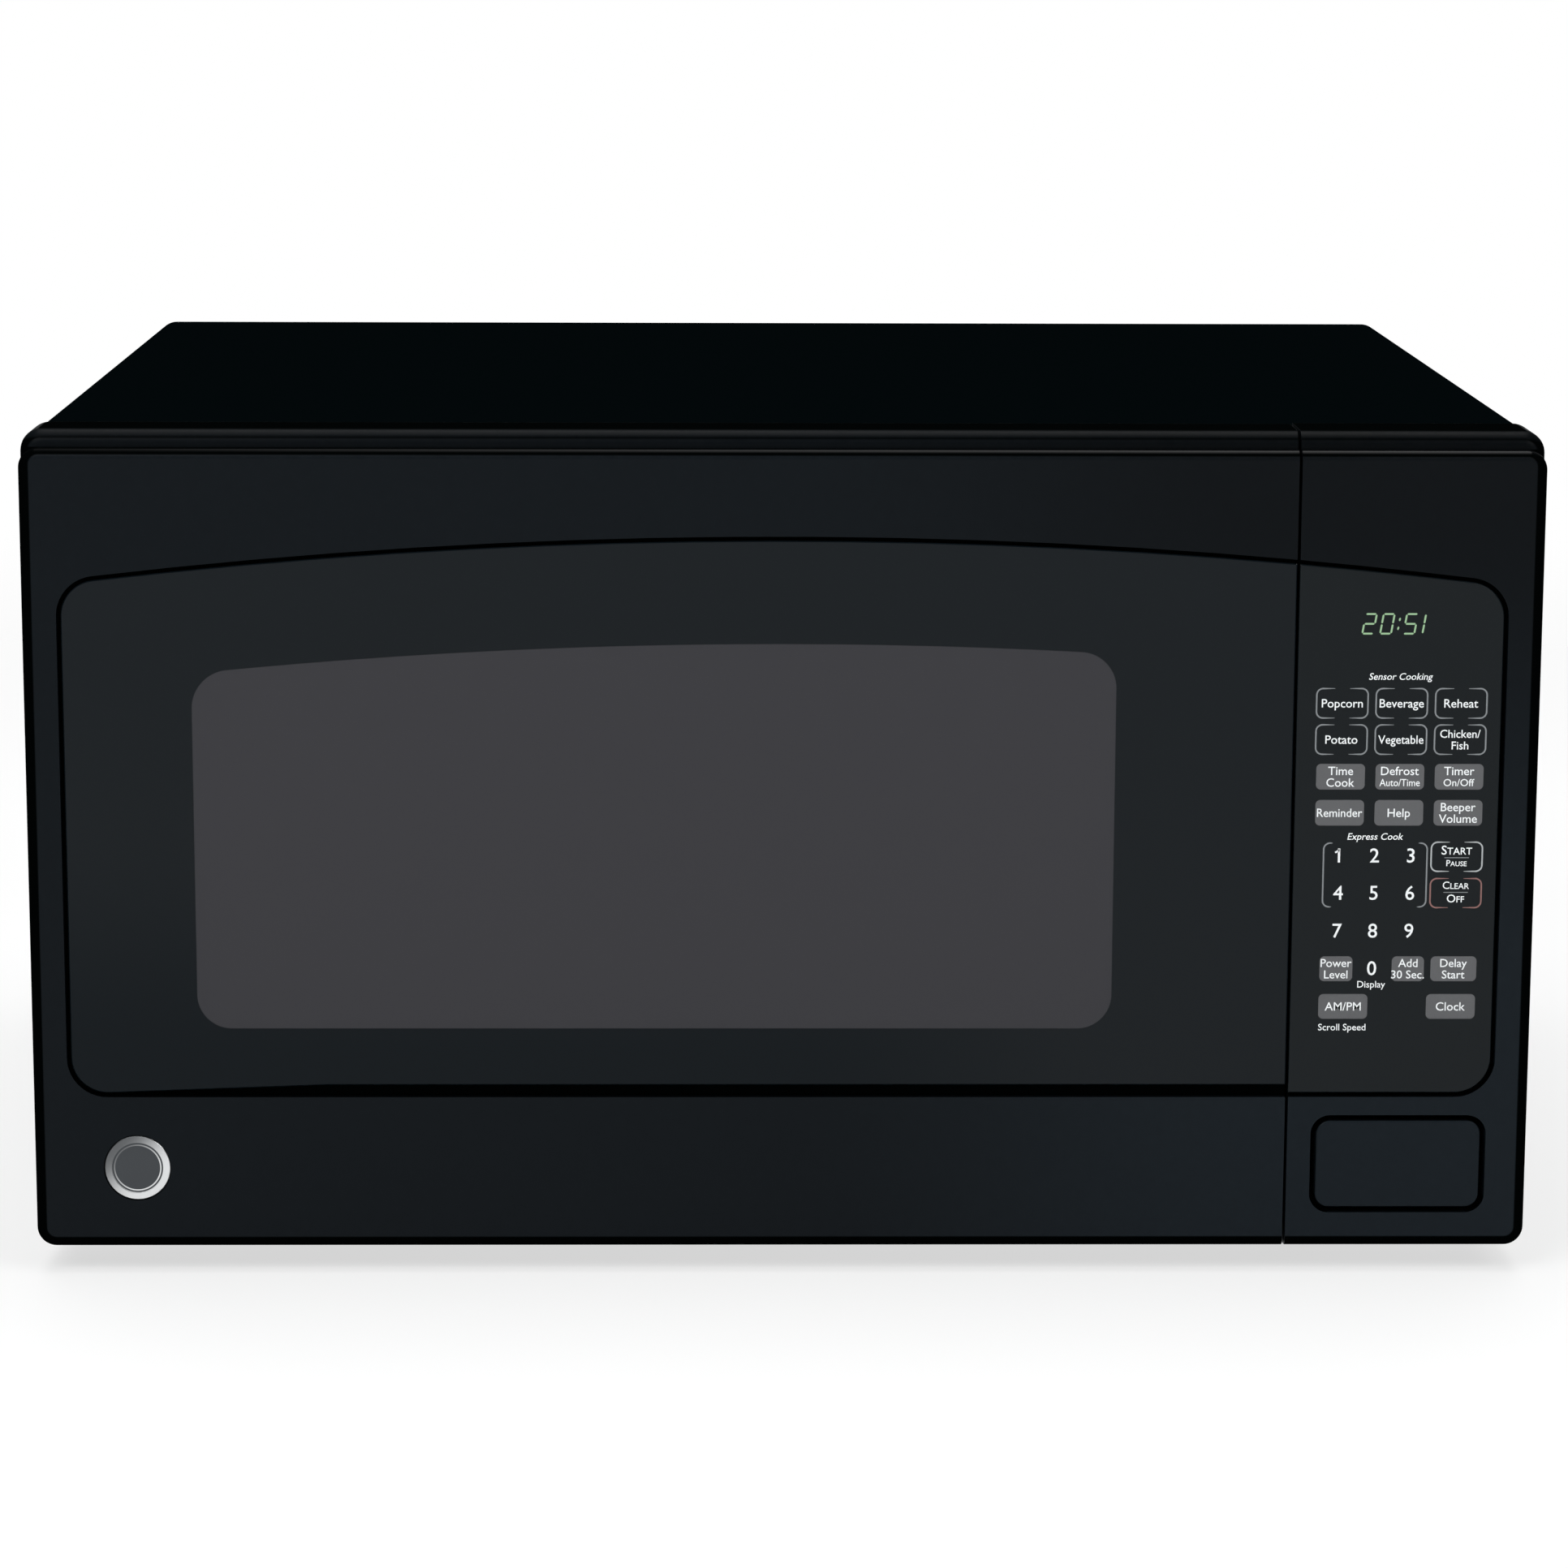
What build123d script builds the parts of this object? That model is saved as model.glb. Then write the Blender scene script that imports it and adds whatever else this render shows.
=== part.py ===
from build123d import *
import os

os.makedirs("parts", exist_ok=True)

# Countertop microwave oven, in millimetres. X runs left to right across the front, Y from the front
# to the back and Z up. The origin is on the table, under the middle of the oven.

# Overall size
front_width = 613.0
front_height = 337.0
total_depth = 502.0
foot_clearance = 11.0

# Front slab, shared by the door and the control panel
door_thickness = 35.0
door_gap = 3.0
control_width = 99.5
seam_gap = 1.2
slab_corner_radius = 9.0
face_corner_radius = 8.0
face_drop = 7.0
brow_setback = 6.0
brow_radius = 6.0
slab_edge_radius = 4.0
mould_wall = 3.0
fit_clearance = 0.3

# Arched panel that runs across the door and the control panel, and the window behind it
arch_margin = 14.2
arch_bottom_margin = 63.6
arch_top_margin = 41.9
arch_radius = 2360.0
arch_corner_radius = 16.5
groove_width = 1.8
panel_thickness = 2.6
panel_recess = 0.4
window_left_margin = 53.7
window_right_margin = 72.1
window_bottom_margin = 28.9
window_top_margin = 43.7
window_corner_radius = 14.0

# Badge disc on the door
badge_diameter = 27.7
badge_side_margin = 42.1
badge_height = 33.8
badge_rise = 0.8
badge_ring = 3.2

# Chassis
sheet = 0.8
case_inset = 1.0
case_bend_radius = 9.0
base_lift = 4.0
flange_depth = 14.0
rear_standoff = 6.0

# Oven cavity
cavity_side_space = 37.5
cavity_top_space = 24.0
cavity_rear_space = 11.0
latch_space = 44.0
motor_space = 29.0
cavity_corner_radius = 12.0
dish_radius = 139.0
dish_depth = 3.0
feed_width = 80.0
feed_height = 50.0

# Turntable
tray_radius = 200.0
tray_thickness = 5.0
tray_rim_height = 9.0
roller_circle_radius = 118.0
roller_radius = 9.0
roller_width = 8.0
axle_radius = 2.0
running_clearance = 0.05
shaft_radius = 3.5
coupler_radius = 22.0

# Door hinge
hinge_inboard = 8.5
hinge_forward = 11.0
hinge_pin_radius = 2.5
bush_radius = 4.2
tongue_thickness = 3.0
tongue_inset = 23.0
bracket_thickness = 1.5

# Door frame behind the shell
frame_back_recess = 5.0
frame_wall_depth = 15.0
frame_overlap = 20.0
cover_thickness = 2.6

# Latch and release
button_width = 72.2
button_height = 41.3
button_corner_radius = 8.0
button_groove = 2.2
button_bottom = 14.6
button_travel = 6.0
hook_width = 8.0
hook_lift = 4.0
hook_bar_height = 8.0
lip_drop = 5.0
catch_clearance = 0.4
lever_pin_radius = 2.0
lever_angle = 0.2

# Hinge notches in the door
notch_clearance = 0.6
notch_reach = 11.0
door_rear_round = 5.0

# Door hooks, their slide and its spring
hook_inset = 13.4
plate_setback = 20.0
plate_thickness = 5.0
hook_reach = 33.0
lower_hook_rise = 68.0
upper_hook_drop = 78.0
plate_overrun = 14.0
spring_length = 16.0
spring_radius = 3.2
spring_wire = 0.7
spring_turns = 5
rib_thickness = 2.0
lip_length = 6.0
slot_side = 3.0

# Door frame's trims, its window and the shell's posts
frame_latch_trim = 3.0
frame_top_trim = 2.0
window_grow = 8.0
post_radius = 4.0
post_inset = 12.0

# Finger grip under the smoked sheet
grip_gap = 3.3
grip_run = 90.0

# Hinge ears and bushes
ear_thickness = 2.0
bush_flange = 0.8
bush_flange_lip = 1.0
ear_gap = 0.2
ear_rim = 1.2

# Door screen and splash film
screen_thickness = 0.6
screen_lap = 6.0
film_thickness = 0.8
film_lap = 5.0

# Choke cover
cover_recess = 0.5
cover_gap = 1.0
cover_lip = 2.0
slot_rise = 2.0

# Hinge brackets and screws
bracket_half_height = 17.0
bracket_right = 14.0
tongue_half_width = 4.0
screw_radius = 1.5
screw_head_radius = 3.2
screw_head_height = 1.0
bracket_screw_offset = 11.0
bracket_corner_radius = 3.0
bracket_screw_inset = 7.0
pin_overrun = 2.0
screw_overrun = 3.0

# Release linkage
lever_nose = 6.5
lever_thickness = 4.0
lever_hub_radius = 4.0
button_side_margin = 9.6
stem_inset = 9.0
push_arm_setback = 1.0
stem_width = 6.0
stem_height = 3.0
stem_gap = 0.6
stem_clearance = 0.5

# Openings in the front flange
control_opening_margin = 9.0
control_opening_bottom = 90.0
edge_gap = 0.2

# Control board, display and the button's sleeve
board_setback = 19.0
board_thickness = 1.6
board_left_gap = 6.0
board_right_gap = 8.0
board_bottom_gap = 84.0
board_top_gap = 16.0
board_post_inset = 6.0
display_inset = 40.0
display_drop = 36.4
display_width = 44.0
display_height = 19.0
sleeve_depth = 14.0
guide_setback = 9.0
guide_width = 4.0
guide_shares = (0.3, 0.7)

# Parts on the control board: place across and up as shares, then width, height and rise
board_parts = (
    (0.25, 0.18, 20.0, 16.0, 14.0),
    (0.62, 0.18, 20.0, 16.0, 14.0),
    (0.30, 0.42, 32.0, 27.0, 15.0),
    (0.72, 0.46, 12.0, 12.0, 15.0),
    (0.50, 0.66, 26.0, 14.0, 4.0),
    (0.40, 0.88, 34.0, 7.0, 9.0),
)

# Release button's moulding
button_depth = 16.0
button_wall = 2.5
button_edge_radius = 1.2

# Release lever's nose
lift_arm_offset = 0.5
nose_overrun = 1.0
nose_flat = 2.0
nose_slope = 5.0
nose_step = 2.0

# Latch board
board_wall = 2.5
wall_gap = 3.0
arm_side_gap = 1.0
latch_wall_overrun = 14.0
latch_wall_below = 12.0
latch_wall_above = 24.0
beam_gap = 1.0
beam_height = 8.0
beam_depth = 8.0
ledge_depth = 3.6
ledge_height = 6.0
flange_width = 12.0

# Interlock switches
switch_length = 28.0
switch_depth = 11.0
switch_gap = 2.0
plunger_radius = 1.5

# Floor hole and the microwave feed's place
floor_hole_radius = 8.0
feed_forward = 30.0
feed_rise = 58.0

# Turntable motor, shaft, coupler and tray
motor_radius = 25.0
motor_height = 18.0
motor_ear = 6.0
roller_gap = 0.3
shaft_engagement = 12.0
shaft_setback = 3.0
coupler_lift = 3.0
coupler_hub_radius = 9.0
coupler_wing_width = 8.0
tray_flat_radius = 152.0
tray_lug_radius = 4.0
tray_lug_height = 4.0

# Roller ring
ring_height = 5.0
ring_width = 6.0
axle_overhang = 3.0
axle_cap_lip = 1.5
roller_side_gap = 0.4
roller_angles = (90, 210, 330)

# Outer case's lip, vents and screws
case_lip = 11.0
vent_length = 34.0
vent_height = 3.0
vent_pitch = 8.0
vent_rows = 8
vent_forward = 90.0
vent_rise = 70.0
side_screw_rise = 20.0
side_screw_drop = 40.0
top_screw_inset = 60.0
vent_columns = 2
vent_column_pitch = 46.0

# Base plate and feet
base_flange = 12.0
foot_side_margin = 62.0
foot_front_margin = 105.0
foot_rear_margin = 45.0
stud_overrun = 2.0
foot_radius = 15.0
foot_taper = 6.0
foot_stud_radius = 4.0
base_vent_length = 56.0
base_vent_count = 9
base_vent_setback = 128.0

# Rear panel, the fan's height and the cord gland
fan_rise = 150.0
rear_vent_length = 84.0
exhaust_length = 60.0
exhaust_drop = 20.0
exhaust_columns = 3
exhaust_rows = 3
intake_rows = 10
spacer_radius = 9.0
gland_radius = 8.0
gland_bore_radius = 4.2
gland_flange_radius = 13.0
gland_flange = 4.0
gland_inset = 42.0
gland_rise = 44.0
gland_overrun = 6.0
spacer_inset = 50.0
spacer_taper = 20.0

# Waveguide
guide_depth = 38.0
guide_margin = 12.0
antenna_radius = 9.0
antenna_offset = 10.0

# Waveguide cover
mica_thickness = 0.5
mica_lap = 8.0

# Magnetron
yoke_width = 86.0
yoke_height = 70.0
yoke_depth = 52.0
anode_radius = 19.0
fin_thickness = 1.0
fin_count = 6
filter_width = 50.0
filter_height = 40.0
filter_depth = 26.0
antenna_length = 26.0

# Thermal cut-outs
cutout_radius = 8.0
cutout_height = 9.0
cutout_flange_length = 27.2
cutout_flange_width = 9.6
roof_cutout_inset = 70.0
roof_cutout_forward = 60.0

# Transformer
core_width = 95.0
core_height = 78.0
core_depth = 55.0
limb_width = 32.0
window_height = 46.0
coil_gap = 0.3
core_foot = 8.0
core_setback = 62.0

# High-voltage capacitor and its strap
can_width = 52.0
can_height = 32.0
can_length = 92.0
can_inset = 40.0
can_setback = 55.0
terminal_pitch = 20.0
terminal_width = 6.3
terminal_thickness = 0.8
terminal_height = 9.0
strap_width = 18.0
strap_thickness = 1.0
strap_gap = 0.2

# High-voltage diode
diode_radius = 3.5
diode_length = 22.0
diode_gap = 16.0
tag_lap = 4.0
tag_reach = 14.0

# Fan and its motor
fan_radius = 56.0
fan_hub_radius = 13.0
fan_hub_depth = 16.0
fan_blades = 5
blade_thickness = 1.4
blade_root_angle = 55.0
blade_tip_angle = 28.0
blade_root_width = 20.0
blade_tip_width = 34.0
fan_collar_gap = 4.0
collar_depth = 12.0
shroud_forward = 74.0
shroud_margin = 24.0
bridge_setback = 20.0
shroud_thickness = 1.5
bridge_height = 14.0
fan_shaft_radius = 2.5
motor_core_width = 58.0
motor_core_height = 46.0
motor_core_depth = 18.0
motor_coil_width = 16.0
rotor_radius = 11.0
rotor_overrun = 8.0
motor_notch_rise = 3.0
motor_notch_height = 8.0
coil_setback = 2.0
coil_overrun = 4.0
coil_corner_radius = 3.0
hub_cap = 2.0
shaft_end_gap = 1.0
blade_root_depth = 2.0

# Air duct
duct_wall = 1.8
duct_depth = 58.0
duct_inset = 2.0

# Oven lamp
lamp_radius = 10.0
lamp_length = 30.0
lamp_tip = 5.0
lamp_forward = 95.0
lamp_drop = 40.0
holder_corner_radius = 3.0
holder_depth = 18.0
holder_size = 26.0

# Line filter board, then its parts' places, width, height and rise
filter_board_width = 82.0
filter_board_height = 64.0
filter_post = 10.0
filter_top_gap = 20.0
filter_post_inset = 5.0
filter_post_radius = 3.0
filter_parts = (
    (-20.0, 8.0, 26.0, 26.0, 18.0),
    (18.0, 10.0, 22.0, 10.0, 14.0),
    (8.0, -18.0, 34.0, 7.0, 9.0),
)

# How far a cutting block runs past the piece it cuts
beyond = 10.0

# Places worked out from the sizes above
front_left = -front_width / 2
front_right = front_width / 2
front_y = -total_depth / 2
rear_y = total_depth / 2
slab_bottom = foot_clearance
slab_top = slab_bottom + front_height
slab_mid = (slab_bottom + slab_top) / 2
face_top = slab_top - face_drop
door_back = front_y + door_thickness
plate_y = door_back + door_gap
chassis_y = plate_y + sheet
seam_x = front_right - control_width
door_right = seam_x - seam_gap / 2
panel_left = seam_x + seam_gap / 2
pocket_depth = panel_thickness + panel_recess
inner_face_y = front_y + pocket_depth + mould_wall
arch_bottom = slab_bottom + arch_bottom_margin
arch_peak = slab_top - arch_top_margin
arch_centre_z = arch_peak - arch_radius
case_left = front_left + case_inset
case_right = front_right - case_inset
case_top = slab_top - case_inset
case_inner_left = case_left + sheet
case_inner_right = case_right - sheet
base_z = slab_bottom + base_lift
base_top = base_z + sheet
rear_panel_y = rear_y - rear_standoff
rear_inner_y = rear_panel_y - sheet
cavity_left = case_inner_left + cavity_side_space
cavity_right = seam_x - latch_space
cavity_mid_x = (cavity_left + cavity_right) / 2
cavity_floor = base_top + motor_space
cavity_ceiling = case_top - sheet - cavity_top_space
cavity_mid_z = (cavity_floor + cavity_ceiling) / 2
cavity_back = rear_inner_y - cavity_rear_space
cavity_mid_y = (chassis_y + cavity_back) / 2
bay_left = cavity_right + sheet
bay_right = case_inner_right
bay_mid = (bay_left + bay_right) / 2


def front_plane(y):
    """Plane facing the front at depth y: sketches on it are drawn in X and Z."""
    return Plane(origin=(0, y, 0), x_dir=(1, 0, 0), z_dir=(0, -1, 0))


def side_plane(x):
    """Plane facing right at x: sketches on it are drawn in Y and Z."""
    return Plane.YZ.offset(x)


def box_between(x_range, y_range, z_range):
    """Plain block between three pairs of limits."""
    with BuildPart() as block:
        with BuildSketch(Plane.XY.offset(z_range[0])):
            with Locations(((x_range[0] + x_range[1]) / 2, (y_range[0] + y_range[1]) / 2)):
                Rectangle(x_range[1] - x_range[0], y_range[1] - y_range[0])
        extrude(amount=z_range[1] - z_range[0])
    return block.part


def rectangle_between(x_range, z_range, corner=0.0):
    """Rectangle between two pairs of limits, with round corners if corner is above zero."""
    with BuildSketch() as outline:
        with Locations(((x_range[0] + x_range[1]) / 2, (z_range[0] + z_range[1]) / 2)):
            if corner > 0:
                RectangleRounded(x_range[1] - x_range[0], z_range[1] - z_range[0], corner)
            else:
                Rectangle(x_range[1] - x_range[0], z_range[1] - z_range[0])
    return outline.sketch


def arched_rectangle(x_range, bottom, drop, corner):
    """Rectangle under the front's long arc, lowered by drop, with its four corners rounded."""
    with BuildSketch() as outline:
        with Locations(((x_range[0] + x_range[1]) / 2, (bottom + slab_top) / 2)):
            Rectangle(x_range[1] - x_range[0], slab_top - bottom)
        with Locations((0, arch_centre_z)):
            Circle(arch_radius - drop, mode=Mode.INTERSECT)
        fillet(outline.vertices(), corner)
    return outline.sketch


def arch_between(inset, x_from, x_to):
    """The arch outline, drawn in by inset and kept between two X positions."""
    sides = (front_left + arch_margin + inset, front_right - arch_margin - inset)
    with BuildSketch() as outline:
        add(arched_rectangle(sides, arch_bottom + inset, inset, arch_corner_radius - inset))
        with Locations(((x_from + x_to) / 2, slab_mid)):
            Rectangle(x_to - x_from, front_height, mode=Mode.INTERSECT)
    return outline.sketch


def front_slab(x_from, x_to, depth):
    """The round-edged front slab with the brow set back above its face, kept between two X positions."""
    sides = (front_left, front_right)
    with BuildPart() as brow:
        with BuildSketch(front_plane(front_y + brow_setback)):
            add(rectangle_between(sides, (slab_mid, slab_top), slab_corner_radius))
        extrude(amount=-(depth - brow_setback))
        fillet(brow.faces().sort_by(Axis.Y)[0].edges(), brow_radius)
    with BuildPart() as slab:
        with BuildSketch(front_plane(front_y)):
            add(rectangle_between(sides, (slab_bottom, face_top), face_corner_radius))
        extrude(amount=-depth)
        fillet(slab.faces().sort_by(Axis.Y)[0].edges(), slab_edge_radius)
        add(brow.part)
        with Locations(((x_from + x_to) / 2, front_y + depth / 2, slab_mid)):
            Box(x_to - x_from, depth, front_height, mode=Mode.INTERSECT)
    return slab.part


def slab_hollow(x_from, x_to, depth):
    """The space inside the slab's walls, open at the back."""
    levels = (
        (inner_face_y, slab_bottom + mould_wall, face_top - mould_wall),
        (front_y + brow_setback + brow_radius, slab_mid, slab_top - mould_wall),
    )
    with BuildPart() as hollow:
        for start_y, low, high in levels:
            with BuildSketch(front_plane(start_y)):
                add(rectangle_between((x_from, x_to), (low, high), slab_corner_radius - mould_wall))
            extrude(amount=-(front_y + depth + beyond - start_y))
    return hollow.part


def save(piece, name):
    """Label a finished piece and write it."""
    piece.part.label = name
    export_step(piece.part, f"parts/{name}.step")


# Door hinge axis and the levels of its two tongues
hinge_x = front_left + hinge_inboard
hinge_y = door_back - hinge_forward
tongue_level = {"lower": slab_bottom + tongue_inset, "upper": slab_top - tongue_inset}

# Latch places: the hooks run in the margin between the oven mouth and the seam
hook_x = door_right - mould_wall - hook_inset
plate_front = door_back - plate_setback
hook_levels = (slab_bottom + lower_hook_rise, slab_top - upper_hook_drop)
hook_tip_y = door_back + hook_reach
plate_bottom = hook_levels[0] - plate_overrun
plate_top = hook_levels[1] + hook_bar_height + plate_overrun

# Door: the steel frame's outline behind the shell
frame_x = (cavity_left - frame_overlap, cavity_right + frame_overlap - frame_latch_trim)
frame_z = (cavity_floor - frame_overlap, cavity_ceiling + frame_overlap - frame_top_trim)
frame_plate_y = door_back - frame_back_recess
window_x = (
    front_left + arch_margin + window_left_margin,
    door_right - window_right_margin,
)
window_z = arch_bottom + window_bottom_margin
post_places = [
    (frame_x[side] + (post_inset, -post_inset)[side], frame_z[end] + (post_inset, -post_inset)[end])
    for side in (0, 1)
    for end in (0, 1)
]

# Door shell: round-edged moulding with the arched pocket, the window and the hinge notches
with BuildPart() as door_shell:
    add(front_slab(front_left - beyond, door_right, door_thickness))
    add(slab_hollow(front_left + mould_wall, door_right - mould_wall, door_thickness), mode=Mode.SUBTRACT)
    with BuildSketch(front_plane(front_y)):
        add(arch_between(0, front_left, door_right + beyond))
    extrude(amount=-pocket_depth, mode=Mode.SUBTRACT)
    with BuildSketch(front_plane(front_y)):
        add(arched_rectangle(window_x, window_z, window_top_margin, window_corner_radius))
    extrude(amount=-(pocket_depth + mould_wall), mode=Mode.SUBTRACT)
    with BuildSketch(front_plane(inner_face_y)):
        with Locations(*post_places):
            Circle(post_radius)
    extrude(amount=-(frame_plate_y - sheet - inner_face_y))
    for side in (-1, 1):
        with BuildSketch(front_plane(inner_face_y)):
            rib_x = hook_x + side * (hook_width / 2 + fit_clearance + rib_thickness / 2)
            with Locations((rib_x, (plate_bottom + plate_top) / 2)):
                Rectangle(rib_thickness, plate_top - plate_bottom)
        extrude(amount=-(plate_front + plate_thickness - inner_face_y))
    with BuildSketch(front_plane(inner_face_y)):
        with Locations((hook_x, plate_top + spring_length + rib_thickness / 2)):
            Rectangle(hook_width + 4 * rib_thickness, rib_thickness)
    extrude(amount=-(plate_front + plate_thickness - inner_face_y))
    with BuildSketch(Plane.XY.offset(slab_bottom)):
        with Locations((front_left + door_rear_round / 2, door_back - door_rear_round / 2)):
            Rectangle(door_rear_round, door_rear_round)
        with Locations((front_left + door_rear_round, door_back - door_rear_round)):
            Circle(door_rear_round, mode=Mode.SUBTRACT)
    extrude(amount=front_height, mode=Mode.SUBTRACT)
    for level in tongue_level.values():
        with BuildSketch(Plane.XY.offset(level - tongue_thickness / 2 - notch_clearance)):
            with Locations((front_left, door_back)):
                Rectangle(4 * hinge_inboard, 2 * (hinge_forward + notch_reach))
        extrude(amount=tongue_thickness + 2 * notch_clearance, mode=Mode.SUBTRACT)
    with BuildSketch(front_plane(front_y)):
        with Locations((front_left + badge_side_margin, slab_bottom + badge_height)):
            Circle(badge_diameter / 2)
    extrude(amount=-badge_rise, mode=Mode.SUBTRACT)
save(door_shell, "door_shell")

# Badge: plain metal disc with a raised ring, set into the door's lower left corner
with BuildPart() as badge:
    with BuildSketch(front_plane(front_y + badge_rise)):
        with Locations((front_left + badge_side_margin, slab_bottom + badge_height)):
            Circle(badge_diameter / 2 - fit_clearance)
    extrude(amount=badge_rise)
    chamfer(badge.faces().sort_by(Axis.Y)[0].edges(), badge_rise / 2)
    with BuildSketch(front_plane(front_y)):
        with Locations((front_left + badge_side_margin, slab_bottom + badge_height)):
            Circle(badge_diameter / 2 - badge_ring)
    extrude(amount=-badge_rise / 2, mode=Mode.SUBTRACT)
save(badge, "badge")

# Window panel: smoked sheet in the arched pocket, with a shadow groove round it that widens below
# into a finger grip
with BuildPart() as window_panel:
    with BuildSketch(front_plane(front_y + panel_recess)):
        add(arch_between(groove_width, front_left, door_right))
        grip_x = front_left + arch_margin + arch_corner_radius
        grip_z = arch_bottom + groove_width
        with BuildLine():
            Polyline(
                (grip_x, grip_z),
                (grip_x + grip_run, grip_z + grip_gap),
                (door_right + beyond, grip_z + grip_gap),
                (door_right + beyond, arch_bottom),
                (grip_x, arch_bottom),
                close=True,
            )
        make_face(mode=Mode.SUBTRACT)
    extrude(amount=-panel_thickness)
    front_edges = window_panel.faces().sort_by(Axis.Y)[0].edges()
    chamfer(front_edges, panel_recess)
save(window_panel, "window_panel")

# Door inner frame: steel tray with its choke wall folded forward and an ear at each hinge
with BuildPart() as door_inner_frame:
    with BuildSketch(front_plane(frame_plate_y)):
        add(rectangle_between(frame_x, frame_z, 2 * sheet))
    extrude(amount=sheet)
    with BuildSketch(front_plane(frame_plate_y - sheet)):
        add(rectangle_between(frame_x, frame_z, 2 * sheet))
        offset(amount=-sheet, kind=Kind.INTERSECTION, mode=Mode.SUBTRACT)
    extrude(amount=frame_wall_depth)
    with BuildSketch(front_plane(frame_plate_y)):
        grown = (window_x[0] - window_grow, window_x[1] + window_grow)
        top_margin = window_top_margin - window_grow
        add(arched_rectangle(grown, window_z - window_grow, top_margin, window_corner_radius))
    extrude(amount=sheet, mode=Mode.SUBTRACT)
    for end, level in tongue_level.items():
        inward = 1 if end == "lower" else -1
        ear_z = level + inward * (tongue_thickness / 2 + ear_gap + bush_flange)
        with BuildSketch(Plane.XY.offset(ear_z)):
            with Locations((hinge_x, hinge_y)):
                Circle(bush_radius + ear_rim)
                Rectangle(
                    frame_x[0] + sheet - hinge_x,
                    2 * (bush_radius + ear_rim),
                    align=(Align.MIN, Align.CENTER),
                )
                Circle(bush_radius + running_clearance, mode=Mode.SUBTRACT)
        extrude(amount=inward * ear_thickness)
save(door_inner_frame, "door_inner_frame")

# Door screen: perforated steel sheet on the front of the frame's window
with BuildPart() as door_screen:
    with BuildSketch(front_plane(frame_plate_y - sheet)):
        lap = window_grow + screen_lap
        sides = (window_x[0] - lap, window_x[1] + lap)
        add(arched_rectangle(sides, window_z - lap, window_top_margin - lap, window_corner_radius))
    extrude(amount=screen_thickness)
save(door_screen, "door_screen")

# Inner window film: clear splash sheet on the oven side of the frame
with BuildPart() as inner_window_film:
    with BuildSketch(front_plane(frame_plate_y)):
        lap = window_grow + film_lap
        sides = (window_x[0] - lap, window_x[1] + lap)
        add(arched_rectangle(sides, window_z - lap, window_top_margin - lap, window_corner_radius))
    extrude(amount=-film_thickness)
save(inner_window_film, "inner_window_film")

# Choke cover: plastic rim that closes the back of the door, standing on the frame by its inner lip
cover_y = door_back - cover_recess
slot_x = (hook_x - hook_width / 2 - slot_side, hook_x + hook_width / 2 + slot_side)


def hook_slots():
    """Openings for both hooks, with room for their lips and their lift."""
    with BuildSketch() as slots:
        for hook_z in hook_levels:
            low = hook_z - lip_drop - slot_rise
            high = hook_z + hook_bar_height + hook_lift + slot_rise
            add(rectangle_between(slot_x, (low, high)))
    return slots.sketch


def cover_opening(grow):
    """Outline of the rim's opening, which clears the splash film, grown outwards."""
    lap = window_grow + film_lap + cover_gap + grow
    sides = (window_x[0] - lap, window_x[1] + lap)
    return arched_rectangle(sides, window_z - lap, window_top_margin - lap, window_corner_radius)


with BuildPart() as choke_cover:
    with BuildSketch(front_plane(cover_y)):
        rim_x = (front_left + mould_wall + fit_clearance, door_right - mould_wall - fit_clearance)
        rim_z = (slab_bottom + mould_wall + fit_clearance, slab_top - mould_wall - fit_clearance)
        add(rectangle_between(rim_x, rim_z, slab_corner_radius - mould_wall))
        add(cover_opening(0), mode=Mode.SUBTRACT)
        add(hook_slots(), mode=Mode.SUBTRACT)
    extrude(amount=cover_thickness)
    with BuildSketch(front_plane(cover_y - cover_thickness)):
        add(cover_opening(cover_lip))
        add(cover_opening(0), mode=Mode.SUBTRACT)
    extrude(amount=cover_y - cover_thickness - frame_plate_y)
    for level in tongue_level.values():
        with BuildSketch(Plane.XY.offset(level - tongue_thickness / 2 - notch_clearance)):
            with Locations((front_left, door_back)):
                Rectangle(4 * hinge_inboard, 2 * hinge_forward)
        extrude(amount=tongue_thickness + 2 * notch_clearance, mode=Mode.SUBTRACT)
save(choke_cover, "choke_cover")

# Hinge bushes: flanged plastic sleeves in the frame's ears
with BuildPart() as hinge_bushes:
    for end, level in tongue_level.items():
        inward = 1 if end == "lower" else -1
        flange_z = level + inward * (tongue_thickness / 2 + ear_gap)
        with BuildSketch(Plane.XY.offset(flange_z)):
            with Locations((hinge_x, hinge_y)):
                Circle(bush_radius + bush_flange_lip)
                Circle(hinge_pin_radius + running_clearance, mode=Mode.SUBTRACT)
        extrude(amount=inward * bush_flange)
        with BuildSketch(Plane.XY.offset(flange_z + inward * bush_flange)):
            with Locations((hinge_x, hinge_y)):
                Circle(bush_radius)
                Circle(hinge_pin_radius + running_clearance, mode=Mode.SUBTRACT)
        extrude(amount=inward * ear_thickness)
save(hinge_bushes, "hinge_bushes")

# Hinge brackets: steel plates on the front flange, each with a forward tongue and an upright pin
bracket_screw_x = hinge_x + bracket_screw_inset


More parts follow.
